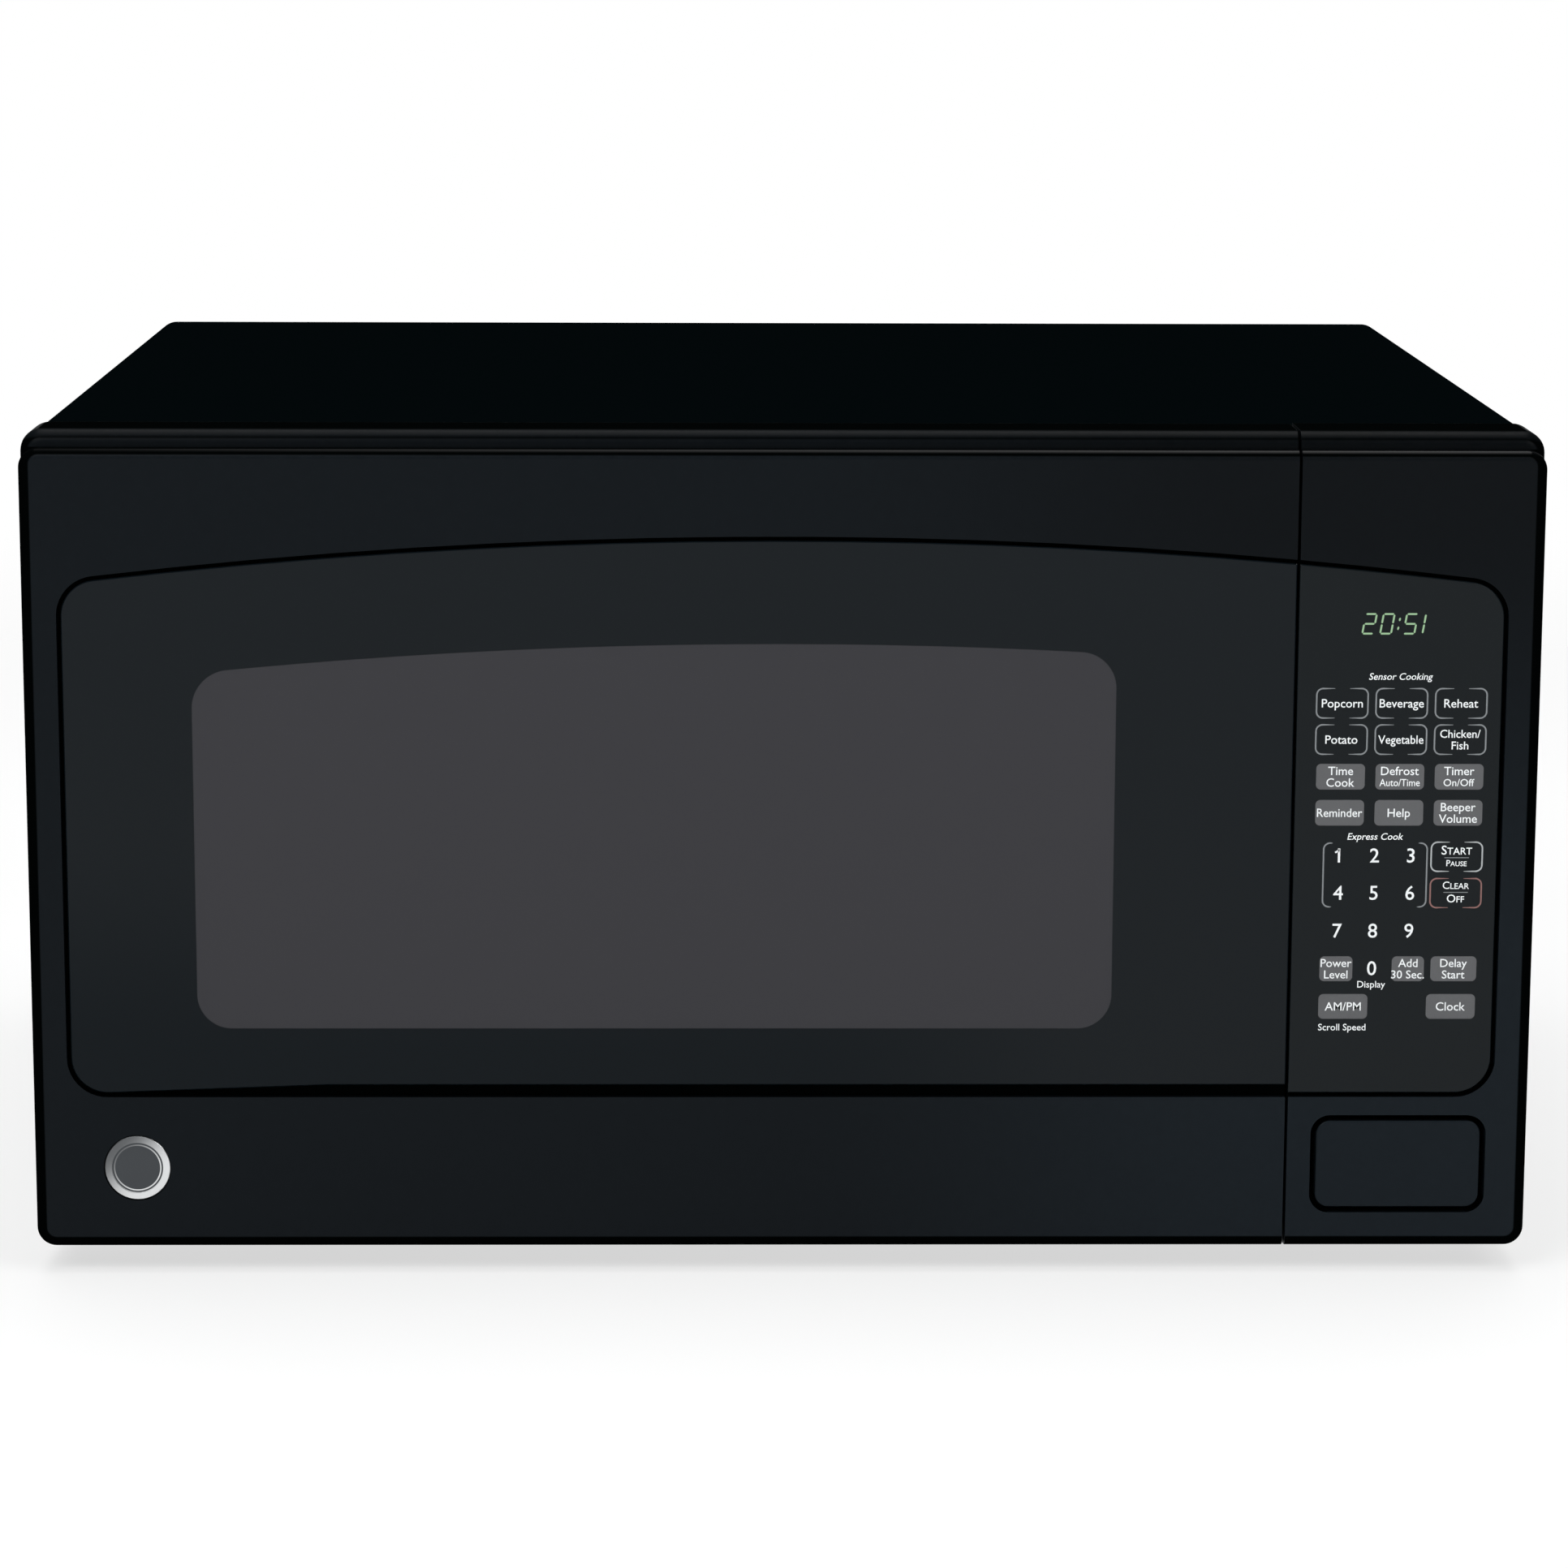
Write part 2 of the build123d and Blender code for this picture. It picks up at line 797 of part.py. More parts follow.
def hinge_bracket(level, inward):
    """Bracket whose pin points along inward, up or down, from its tongue."""
    with BuildPart() as bracket:
        with BuildSketch(front_plane(plate_y)):
            sides = (hinge_x - tongue_half_width, hinge_x + bracket_right)
            ends = (level - bracket_half_height, level + bracket_half_height)
            add(rectangle_between(sides, ends, bracket_corner_radius))
            with Locations(
                (bracket_screw_x, level - bracket_screw_offset),
                (bracket_screw_x, level + bracket_screw_offset),
            ):
                Circle(screw_radius + running_clearance, mode=Mode.SUBTRACT)
        extrude(amount=bracket_thickness)
        with BuildSketch(Plane.XY.offset(level - tongue_thickness / 2)):
            with Locations((hinge_x, hinge_y)):
                Circle(tongue_half_width)
                Rectangle(
                    2 * tongue_half_width,
                    plate_y - bracket_thickness / 2 - hinge_y,
                    align=(Align.CENTER, Align.MIN),
                )
        extrude(amount=tongue_thickness)
        with BuildSketch(Plane.XY.offset(level)):
            with Locations((hinge_x, hinge_y)):
                Circle(hinge_pin_radius)
        pin_length = tongue_thickness / 2 + ear_gap + bush_flange + ear_thickness + pin_overrun
        extrude(amount=inward * pin_length)
    return bracket


hinge_lower = hinge_bracket(tongue_level["lower"], 1)
save(hinge_lower, "hinge_lower")
hinge_upper = hinge_bracket(tongue_level["upper"], -1)
save(hinge_upper, "hinge_upper")

# Hinge screws: two in each bracket
with BuildPart() as hinge_screws:
    for level in tongue_level.values():
        for offset_z in (-bracket_screw_offset, bracket_screw_offset):
            with BuildSketch(front_plane(plate_y - bracket_thickness)):
                with Locations((bracket_screw_x, level + offset_z)):
                    Circle(screw_head_radius)
            extrude(amount=screw_head_height)
            with BuildSketch(front_plane(plate_y - bracket_thickness)):
                with Locations((bracket_screw_x, level + offset_z)):
                    Circle(screw_radius)
            extrude(amount=-(bracket_thickness + sheet + screw_overrun))
save(hinge_screws, "hinge_screws")

# Latch hook plate: upright slide in the door with two hooks that reach through the front flange
with BuildPart() as latch_hook_plate:
    with BuildSketch(side_plane(hook_x - hook_width / 2)):
        add(rectangle_between((plate_front, plate_front + plate_thickness), (plate_bottom, plate_top)))
        for hook_z in hook_levels:
            add(
                rectangle_between(
                    (plate_front + plate_thickness / 2, hook_tip_y),
                    (hook_z, hook_z + hook_bar_height),
                )
            )
            with BuildLine():
                Polyline(
                    (hook_tip_y - lip_length, hook_z),
                    (hook_tip_y - lip_length, hook_z - lip_drop),
                    (hook_tip_y - lip_length / 2, hook_z - lip_drop),
                    (hook_tip_y, hook_z),
                    close=True,
                )
            make_face()
    extrude(amount=hook_width)
save(latch_hook_plate, "latch_hook_plate")

# Latch spring: wound wire between the slide's top and the shelf in the door
spring_y = plate_front + plate_thickness / 2
with BuildPart() as latch_spring:
    pitch = (spring_length - 2 * spring_wire) / spring_turns
    with BuildLine() as coil:
        Helix(
            pitch=pitch,
            height=pitch * spring_turns,
            radius=spring_radius,
            center=(hook_x, spring_y, plate_top + spring_wire),
        )
    with BuildSketch(Plane(origin=coil.line @ 0, z_dir=coil.line % 0)):
        RegularPolygon(spring_wire, 4)
    sweep(path=coil.line, is_frenet=True)
save(latch_spring, "latch_spring")

# Release linkage places: the lever rocks on a pin behind the front flange, under the lower hook
lip_bottom = hook_levels[0] - lip_drop
lever_arm = hook_lift / lever_angle
lever_drop = button_travel / lever_angle
pivot_y = hook_tip_y - lip_length / 2 - lever_arm
pivot_z = lip_bottom - catch_clearance - lever_nose
button_x = (panel_left + button_side_margin, panel_left + button_side_margin + button_width)
button_z = (slab_bottom + button_bottom, slab_bottom + button_bottom + button_height)
stem_x = button_x[0] + stem_inset
stem_z = pivot_z - lever_drop
stem_end_y = pivot_y - lever_hub_radius + push_arm_setback - stem_gap

# Cavity front plate: flange with the oven mouth, the hook slots and the control opening
with BuildPart() as cavity_front_plate:
    plate_x = (case_inner_left + edge_gap, case_inner_right - edge_gap)
    plate_z = (base_top, case_top - sheet - edge_gap)
    with BuildSketch(front_plane(plate_y)):
        add(rectangle_between(plate_x, plate_z, case_bend_radius))
    extrude(amount=-flange_depth)
    with BuildSketch(front_plane(chassis_y)):
        inner_x = (plate_x[0] + sheet, plate_x[1] - sheet)
        add(rectangle_between(inner_x, (plate_z[0] + sheet, plate_z[1] - sheet), case_bend_radius - sheet))
    extrude(amount=-flange_depth, mode=Mode.SUBTRACT)
    with BuildSketch(front_plane(plate_y)):
        mouth_x = (cavity_left, cavity_right)
        add(rectangle_between(mouth_x, (cavity_floor, cavity_ceiling), cavity_corner_radius))
        add(hook_slots())
        opening_x = (panel_left + control_opening_margin, front_right - 2 * control_opening_margin)
        opening_z = (slab_bottom + control_opening_bottom, slab_top - 2 * control_opening_margin)
        add(rectangle_between(opening_x, opening_z, cavity_corner_radius))
        with Locations((stem_x, stem_z)):
            Rectangle(stem_width + 2 * stem_clearance, stem_height + 2 * stem_clearance)
        for level in tongue_level.values():
            with Locations(
                (bracket_screw_x, level - bracket_screw_offset),
                (bracket_screw_x, level + bracket_screw_offset),
            ):
                Circle(screw_radius + running_clearance)
    extrude(amount=-sheet, mode=Mode.SUBTRACT)
save(cavity_front_plate, "cavity_front_plate")

# Control panel bezel: the slab's right-hand end, with the arched pocket, the button sleeve and posts
bezel_depth = door_thickness + door_gap
board_y = front_y + board_setback
board_x = (panel_left + board_left_gap, front_right - board_right_gap)
board_z = (slab_bottom + board_bottom_gap, slab_top - board_top_gap)
board_posts = [
    (x, z)
    for x in (board_x[0] + board_post_inset, board_x[1] - board_post_inset)
    for z in (board_z[0] + board_post_inset, board_z[1] - board_post_inset)
]
display_x = seam_x + display_inset
display_z = arch_peak - display_drop
with BuildPart() as control_panel_bezel:
    add(front_slab(panel_left, front_right + beyond, bezel_depth))
    add(slab_hollow(panel_left + mould_wall, front_right - mould_wall, bezel_depth), mode=Mode.SUBTRACT)
    with BuildSketch(front_plane(front_y)):
        add(arch_between(0, panel_left - beyond, front_right))
    extrude(amount=-pocket_depth, mode=Mode.SUBTRACT)
    with BuildSketch(front_plane(inner_face_y - mould_wall)):
        with Locations((display_x, display_z)):
            Rectangle(display_width + 2 * fit_clearance, display_height + 2 * fit_clearance)
    extrude(amount=-mould_wall, mode=Mode.SUBTRACT)
    with BuildSketch(front_plane(inner_face_y)):
        with Locations(*board_posts):
            Circle(post_radius)
    extrude(amount=-(board_y - inner_face_y))
    with BuildSketch(front_plane(inner_face_y)):
        add(rectangle_between(button_x, button_z, button_corner_radius))
        offset(amount=rib_thickness)
    extrude(amount=-sleeve_depth)
    with BuildSketch(front_plane(front_y)):
        add(rectangle_between(button_x, button_z, button_corner_radius))
    extrude(amount=-(inner_face_y + sleeve_depth - front_y), mode=Mode.SUBTRACT)
    with BuildSketch(front_plane(front_y + guide_setback)):
        guide_length = button_groove - fit_clearance
        for x, towards in ((button_x[0], Align.MIN), (button_x[1], Align.MAX)):
            with Locations((x, (button_z[0] + button_z[1]) / 2)):
                Rectangle(guide_length, guide_width, align=(towards, Align.CENTER))
        for z, towards in ((button_z[0], Align.MIN), (button_z[1], Align.MAX)):
            for share in guide_shares:
                with Locations((button_x[0] + share * button_width, z)):
                    Rectangle(guide_width, guide_length, align=(Align.CENTER, towards))
    extrude(amount=-(inner_face_y + sleeve_depth - front_y - guide_setback))
save(control_panel_bezel, "control_panel_bezel")

# Keypad overlay: printed sheet that ends the arch on the control side
with BuildPart() as keypad_overlay:
    with BuildSketch(front_plane(front_y + panel_recess)):
        add(arch_between(groove_width, panel_left, front_right))
    extrude(amount=-panel_thickness)
    chamfer(keypad_overlay.faces().sort_by(Axis.Y)[0].edges(), panel_recess)
save(keypad_overlay, "keypad_overlay")

# Display module: light block that stands on the board and meets the back of the overlay
with BuildPart() as display_module:
    with BuildSketch(front_plane(front_y + pocket_depth)):
        with Locations((display_x, display_z)):
            Rectangle(display_width, display_height)
    extrude(amount=-(board_y - front_y - pocket_depth))
save(display_module, "display_module")

# Control board with its relays, supply transformer and sockets on the back
with BuildPart() as control_board:
    with BuildSketch(front_plane(board_y)):
        add(rectangle_between(board_x, board_z))
    extrude(amount=-board_thickness)
    for share_x, share_z, width, height, rise in board_parts:
        with BuildSketch(front_plane(board_y + board_thickness)):
            with Locations(
                (
                    board_x[0] + share_x * (board_x[1] - board_x[0]),
                    board_z[0] + share_z * (board_z[1] - board_z[0]),
                )
            ):
                Rectangle(width, height)
        extrude(amount=-rise)
save(control_board, "control_board")

# Release button: moulded cap with a hollow back and the stem that works the lever
with BuildPart() as release_button:
    cap_x = (button_x[0] + button_groove, button_x[1] - button_groove)
    cap_z = (button_z[0] + button_groove, button_z[1] - button_groove)
    with BuildSketch(front_plane(front_y)):
        add(rectangle_between(cap_x, cap_z, button_corner_radius - button_groove))
    extrude(amount=-button_depth)
    fillet(release_button.faces().sort_by(Axis.Y)[0].edges(), button_edge_radius)
    with BuildSketch(front_plane(front_y + button_wall)):
        hollow_x = (cap_x[0] + button_wall, cap_x[1] - button_wall)
        hollow_z = (cap_z[0] + button_wall, cap_z[1] - button_wall)
        add(rectangle_between(hollow_x, hollow_z, button_corner_radius - button_groove - button_wall))
    extrude(amount=-button_depth, mode=Mode.SUBTRACT)
    with BuildSketch(front_plane(front_y + button_wall)):
        with Locations((stem_x, stem_z)):
            Rectangle(stem_width, stem_height)
    extrude(amount=-(stem_end_y - front_y - button_wall))
save(release_button, "release_button")

# Release lever: bell crank whose lower arm the stem pushes and whose rear arm lifts the lower hook
lift_arm_x = (hook_x + lift_arm_offset, hook_x + lift_arm_offset + lever_thickness)
push_arm_x = (stem_x - lever_thickness / 2, stem_x + lever_thickness / 2)
with BuildPart() as release_lever:
    with BuildSketch(side_plane(lift_arm_x[0])):
        with Locations((pivot_y, pivot_z)):
            Circle(lever_hub_radius)
    extrude(amount=push_arm_x[1] - lift_arm_x[0])
    with BuildSketch(side_plane(lift_arm_x[0])):
        with BuildLine():
            Polyline(
                (pivot_y, pivot_z - lever_hub_radius),
                (pivot_y + lever_arm, pivot_z + lever_nose - lever_thickness),
                (pivot_y + lever_arm + nose_overrun, pivot_z + lever_nose),
                (pivot_y + lever_arm - nose_flat, pivot_z + lever_nose),
                (pivot_y + lever_arm - nose_slope, pivot_z + lever_nose - nose_step),
                (pivot_y, pivot_z + lever_hub_radius),
                close=True,
            )
        make_face()
    extrude(amount=lever_thickness)
    with BuildSketch(side_plane(push_arm_x[0])):
        face_y = pivot_y - lever_hub_radius + push_arm_setback
        arm_bottom = pivot_z - lever_drop - stem_height
        add(rectangle_between((face_y, face_y + lever_thickness), (arm_bottom, pivot_z)))
    extrude(amount=lever_thickness)
    with BuildSketch(side_plane(lift_arm_x[0])):
        with Locations((pivot_y, pivot_z)):
            Circle(lever_pin_radius + running_clearance)
    extrude(amount=push_arm_x[1] - lift_arm_x[0], mode=Mode.SUBTRACT)
save(release_lever, "release_lever")

# Latch board: moulding behind the flange with the catch ledges and the lever's two pin walls
latch_wall_x = (hook_x - hook_width / 2 - wall_gap - board_wall, hook_x - hook_width / 2 - wall_gap)
far_wall_x = (push_arm_x[1] + arm_side_gap, push_arm_x[1] + arm_side_gap + board_wall)
latch_wall_back = hook_tip_y + latch_wall_overrun
latch_wall_z = (pivot_z - latch_wall_below, hook_levels[1] + hook_bar_height + latch_wall_above)
beam_bottom = hook_levels[0] + hook_bar_height + hook_lift + slot_rise + beam_gap
with BuildPart() as latch_board:
    add(box_between(latch_wall_x, (chassis_y, latch_wall_back), latch_wall_z))
    flange_x = (latch_wall_x[0] - flange_width, latch_wall_x[0])
    add(box_between(flange_x, (chassis_y, chassis_y + board_wall), latch_wall_z))
    beam_top = beam_bottom + beam_height
    add(box_between(far_wall_x, (chassis_y, pivot_y + beam_depth), (latch_wall_z[0], beam_top)))
    beam_x = (latch_wall_x[0], far_wall_x[1])
    add(box_between(beam_x, (chassis_y, chassis_y + beam_depth), (beam_bottom, beam_top)))
    for hook_z in hook_levels:
        ledge_top = hook_z - lip_drop - catch_clearance
        ledge_back = hook_tip_y - lip_length - catch_clearance
        add(
            box_between(
                (latch_wall_x[1] - board_wall / 2, hook_x - lift_arm_offset),
                (ledge_back - ledge_depth, ledge_back),
                (ledge_top - ledge_height, ledge_top),
            )
        )
    with BuildSketch(side_plane(latch_wall_x[0])):
        with Locations((pivot_y, pivot_z)):
            Circle(lever_pin_radius)
    extrude(amount=far_wall_x[1] - latch_wall_x[0], mode=Mode.SUBTRACT)
save(latch_board, "latch_board")

# Lever pin: steel rod across both walls of the latch board
with BuildPart() as lever_pin:
    with BuildSketch(side_plane(latch_wall_x[0])):
        with Locations((pivot_y, pivot_z)):
            Circle(lever_pin_radius)
    extrude(amount=far_wall_x[1] - latch_wall_x[0])
save(lever_pin, "lever_pin")

# Interlock switches: one behind each hook, fixed to the latch board's wall
with BuildPart() as interlock_switches:
    for hook_z in hook_levels:
        switch_x = (latch_wall_x[1], hook_x + hook_width / 2)
        add(
            box_between(
                switch_x,
                (hook_tip_y + switch_gap, hook_tip_y + switch_gap + switch_depth),
                (hook_z, hook_z + switch_length),
            )
        )
        with BuildSketch(front_plane(hook_tip_y + switch_gap)):
            with Locations((hook_x, hook_z + hook_bar_height / 2)):
                Circle(plunger_radius)
        extrude(amount=switch_gap - catch_clearance)
save(interlock_switches, "interlock_switches")

# Oven cavity: welded steel box, open at the front, with the turntable dish and the microwave feed
feed_y = cavity_mid_y - feed_forward
feed_z = cavity_mid_z + feed_rise
dish_top = cavity_floor - dish_depth
with BuildPart() as oven_cavity:
    with BuildSketch(front_plane(chassis_y)):
        outer_x = (cavity_left - sheet, cavity_right + sheet)
        outer_z = (cavity_floor - sheet, cavity_ceiling + sheet)
        add(rectangle_between(outer_x, outer_z, cavity_corner_radius + sheet))
    extrude(amount=-(cavity_back + sheet - chassis_y))
    with BuildSketch(Plane.XY.offset(dish_top - sheet)):
        with Locations((cavity_mid_x, cavity_mid_y)):
            Circle(dish_radius + sheet)
    extrude(amount=dish_depth)
    with BuildSketch(front_plane(chassis_y)):
        inside_x = (cavity_left, cavity_right)
        add(rectangle_between(inside_x, (cavity_floor, cavity_ceiling), cavity_corner_radius))
    extrude(amount=-(cavity_back - chassis_y), mode=Mode.SUBTRACT)
    with BuildSketch(Plane.XY.offset(dish_top)):
        with Locations((cavity_mid_x, cavity_mid_y)):
            Circle(dish_radius)
    extrude(amount=dish_depth, mode=Mode.SUBTRACT)
    with BuildSketch(Plane.XY.offset(dish_top - sheet)):
        with Locations((cavity_mid_x, cavity_mid_y)):
            Circle(floor_hole_radius)
    extrude(amount=sheet, mode=Mode.SUBTRACT)
    with BuildSketch(side_plane(cavity_right)):
        with Locations((feed_y, feed_z)):
            Rectangle(feed_width, feed_height)
    extrude(amount=sheet, mode=Mode.SUBTRACT)
save(oven_cavity, "oven_cavity")

# Turntable: motor under the floor, its shaft, the three-winged coupler and the glass tray
motor_top = dish_top - sheet
roller_z = dish_top + roller_gap + roller_radius
tray_bottom = roller_z + roller_radius + roller_gap
shaft_bottom = motor_top - shaft_engagement
coupler_bottom = dish_top + coupler_lift
shaft_top = tray_bottom - shaft_setback
with BuildPart() as turntable_motor:
    with BuildSketch(Plane.XY.offset(motor_top - motor_height)):
        with Locations((cavity_mid_x, cavity_mid_y)):
            Circle(motor_radius)
    extrude(amount=motor_height)
    with BuildSketch(Plane.XY.offset(motor_top - sheet)):
        with Locations((cavity_mid_x, cavity_mid_y)):
            SlotOverall(2 * (motor_radius + 2 * motor_ear), 2 * motor_ear)
    extrude(amount=sheet)
    with BuildSketch(Plane.XY.offset(shaft_bottom)):
        with Locations((cavity_mid_x, cavity_mid_y)):
            Circle(shaft_radius + running_clearance)
    extrude(amount=motor_top - shaft_bottom, mode=Mode.SUBTRACT)
save(turntable_motor, "turntable_motor")

with BuildPart() as turntable_shaft:
    with BuildSketch(Plane.XY.offset(shaft_bottom)):
        with Locations((cavity_mid_x, cavity_mid_y)):
            Circle(shaft_radius)
    extrude(amount=shaft_top - shaft_bottom)
save(turntable_shaft, "turntable_shaft")

with BuildPart() as turntable_coupler:
    with BuildSketch(Plane.XY.offset(coupler_bottom)):
        with Locations((cavity_mid_x, cavity_mid_y)):
            Circle(coupler_hub_radius)
            with PolarLocations(0, 3):
                Rectangle(coupler_radius, coupler_wing_width, align=(Align.MIN, Align.CENTER))
    extrude(amount=tray_bottom - coupler_bottom)
    with BuildSketch(Plane.XY.offset(coupler_bottom)):
        with Locations((cavity_mid_x, cavity_mid_y)):
            Circle(shaft_radius + running_clearance)
    extrude(amount=shaft_top - coupler_bottom, mode=Mode.SUBTRACT)
save(turntable_coupler, "turntable_coupler")

tray_section = Plane(origin=(cavity_mid_x, cavity_mid_y, tray_bottom), x_dir=(1, 0, 0), z_dir=(0, -1, 0))
with BuildPart() as glass_tray:
    with BuildSketch(tray_section):
        with BuildLine():
            Polyline(
                (0, 0),
                (tray_flat_radius, 0),
                (tray_radius, tray_rim_height),
                (tray_radius, tray_rim_height + tray_thickness),
                (tray_radius - tray_thickness, tray_rim_height + tray_thickness),
                (tray_flat_radius, tray_thickness),
                (0, tray_thickness),
                close=True,
            )
        make_face()
    revolve(axis=Axis((cavity_mid_x, cavity_mid_y, 0), (0, 0, 1)))
    with BuildSketch(Plane.XY.offset(tray_bottom)):
        with Locations((cavity_mid_x, cavity_mid_y)):
            with PolarLocations(coupler_radius - tray_lug_radius, 3, start_angle=60):
                Circle(tray_lug_radius)
    extrude(amount=-tray_lug_height)
save(glass_tray, "glass_tray")

# Roller ring: flat moulded ring with three radial axles, each carrying a loose roller
ring_radius = roller_circle_radius - roller_width / 2 - roller_side_gap - ring_width / 2


def radial_plane(angle, radius):
    """Plane across a spoke of the roller ring, facing outwards, at a distance from its centre."""
    spoke = Vector(1, 0, 0).rotate(Axis.Z, angle)
    centre = Vector(cavity_mid_x, cavity_mid_y, roller_z)
    return Plane(origin=centre + spoke * radius, x_dir=(0, 0, 1), z_dir=spoke)


axle_end = roller_circle_radius + roller_width / 2 + roller_side_gap
with BuildPart() as roller_ring:
    with BuildSketch(Plane.XY.offset(roller_z - ring_height / 2)):
        with Locations((cavity_mid_x, cavity_mid_y)):
            Circle(ring_radius + ring_width / 2)
            Circle(ring_radius - ring_width / 2, mode=Mode.SUBTRACT)
    extrude(amount=ring_height)
    for angle in roller_angles:
        with BuildSketch(radial_plane(angle, ring_radius)):
            Circle(axle_radius)
        extrude(amount=axle_end - ring_radius)
        with BuildSketch(radial_plane(angle, axle_end)):
            Circle(axle_radius + axle_cap_lip)
        extrude(amount=axle_overhang)
save(roller_ring, "roller_ring")

for number, angle in enumerate(roller_angles, 1):
    with BuildPart() as roller:
        with BuildSketch(radial_plane(angle, roller_circle_radius - roller_width / 2)):
            Circle(roller_radius)
            Circle(axle_radius + running_clearance, mode=Mode.SUBTRACT)
        extrude(amount=roller_width)
    save(roller, f"roller_{number}")

# Outer case: painted wrap of top and sides, with a lip behind the rear panel and vent slots
case_front_y = plate_y
case_bottom = base_z
vent_y = rear_inner_y - vent_forward
vent_z = base_top + vent_rise
screw_inset = case_lip / 2
rear_screw_places = [
    (case_left + screw_inset, cavity_floor + side_screw_rise),
    (case_left + screw_inset, cavity_ceiling - side_screw_drop),
    (case_right - screw_inset, cavity_floor + side_screw_rise),
    (case_right - screw_inset, cavity_ceiling - side_screw_drop),
    (cavity_left + top_screw_inset, case_top - screw_inset),
    (cavity_right - top_screw_inset, case_top - screw_inset),
]
with BuildPart() as outer_case:
    with BuildSketch(front_plane(case_front_y)):
        add(rectangle_between((case_left, case_right), (case_bottom - beyond, case_top), case_bend_radius))
    extrude(amount=-(rear_panel_y + sheet - case_front_y))
    with BuildSketch(front_plane(case_front_y)):
        inside = (case_inner_left, case_inner_right)
        heights = (case_bottom - 2 * beyond, case_top - sheet)
        add(rectangle_between(inside, heights, case_bend_radius - sheet))
    extrude(amount=-(rear_panel_y - case_front_y), mode=Mode.SUBTRACT)
    with BuildSketch(front_plane(rear_panel_y)):
        inside = (case_left + case_lip, case_right - case_lip)
        add(rectangle_between(inside, (case_bottom - 2 * beyond, case_top - case_lip)))
        with Locations(*rear_screw_places):
            Circle(screw_radius + running_clearance)
    extrude(amount=-sheet, mode=Mode.SUBTRACT)
    with BuildSketch(Plane.XY.offset(case_bottom)):
        Rectangle(2 * front_width, 2 * total_depth)
    extrude(amount=-2 * beyond, mode=Mode.SUBTRACT)
    with BuildSketch(side_plane(case_left)):
        with Locations((vent_y, vent_z)):
            with GridLocations(vent_column_pitch, vent_pitch, vent_columns, vent_rows):
                Rectangle(vent_length, vent_height)
    extrude(amount=case_right - case_left, mode=Mode.SUBTRACT)
save(outer_case, "outer_case")

# Base plate: steel floor with side flanges, foot holes and vents under the machine bay
foot_x = front_right - foot_side_margin
foot_front_y = front_y + foot_front_margin
foot_rear_y = rear_inner_y - foot_rear_margin
foot_places = [(side * foot_x, y) for side in (-1, 1) for y in (foot_front_y, foot_rear_y)]
base_vent_y = foot_front_y + base_vent_setback
with BuildPart() as base_plate:
    base_x = (case_inner_left + edge_gap, case_inner_right - edge_gap)
    add(box_between(base_x, (plate_y, rear_inner_y), (base_z, base_top)))
    flange_y = (plate_y + flange_depth + edge_gap, rear_inner_y - edge_gap)
    for x in (base_x[0], base_x[1] - sheet):
        add(box_between((x, x + sheet), flange_y, (base_top, base_top + base_flange)))
    with BuildSketch(Plane.XY.offset(base_z)):
        with Locations(*foot_places):
            Circle(foot_stud_radius + running_clearance)
        with Locations((bay_mid, base_vent_y)):
            with GridLocations(vent_pitch, 1, base_vent_count, 1):
                Rectangle(vent_height, base_vent_length)
    extrude(amount=sheet, mode=Mode.SUBTRACT)
save(base_plate, "base_plate")

# Feet: four tapered plastic feet with a stud through the base
with BuildPart() as feet:
    with BuildSketch(Plane.XY.offset(base_z)):
        with Locations(*foot_places):
            Circle(foot_radius)
    extrude(amount=-base_z, taper=foot_taper)
    with BuildSketch(Plane.XY.offset(base_z)):
        with Locations(*foot_places):
            Circle(foot_stud_radius)
    extrude(amount=sheet + stud_overrun)
save(feet, "feet")

# Rear panel: steel back with the fan intake, exhaust slots, spacer bosses and the gland hole
fan_x = bay_mid
fan_z = base_top + fan_rise
exhaust_x = cavity_mid_x
exhaust_z = cavity_ceiling - exhaust_drop
gland_x = bay_right - gland_inset
gland_z = base_top + gland_rise
spacer_places = [(cavity_left + spacer_inset, cavity_mid_z), (cavity_right - spacer_inset, cavity_mid_z)]
with BuildPart() as rear_panel:
    with BuildSketch(front_plane(rear_inner_y)):
        panel_z = (base_z, case_top - sheet - edge_gap)
        panel_x = (case_inner_left + edge_gap, case_inner_right - edge_gap)
        add(rectangle_between(panel_x, panel_z, case_bend_radius))
        with Locations(*rear_screw_places):
            Circle(screw_radius + running_clearance, mode=Mode.SUBTRACT)
        with Locations((gland_x, gland_z)):
            Circle(gland_radius + running_clearance, mode=Mode.SUBTRACT)
        with Locations((fan_x, fan_z)):
            with GridLocations(1, vent_pitch, 1, intake_rows):
                Rectangle(rear_vent_length, vent_height, mode=Mode.SUBTRACT)
        with Locations((exhaust_x, exhaust_z)):
            with GridLocations(exhaust_length + vent_pitch, vent_pitch, exhaust_columns, exhaust_rows):
                Rectangle(exhaust_length, vent_height, mode=Mode.SUBTRACT)
    extrude(amount=-sheet)
    with BuildSketch(front_plane(rear_panel_y)):
        with Locations(*spacer_places):
            Circle(spacer_radius)
    extrude(amount=-rear_standoff, taper=spacer_taper)
save(rear_panel, "rear_panel")

# Case screws: through the lip into the rear panel
with BuildPart() as case_screws:
    with BuildSketch(front_plane(rear_panel_y + sheet)):
        with Locations(*rear_screw_places):
            Circle(screw_head_radius)
    extrude(amount=-2 * screw_head_height)
    with BuildSketch(front_plane(rear_panel_y + sheet)):
        with Locations(*rear_screw_places):
            Circle(screw_radius)
    extrude(amount=2 * sheet + screw_overrun)
save(case_screws, "case_screws")

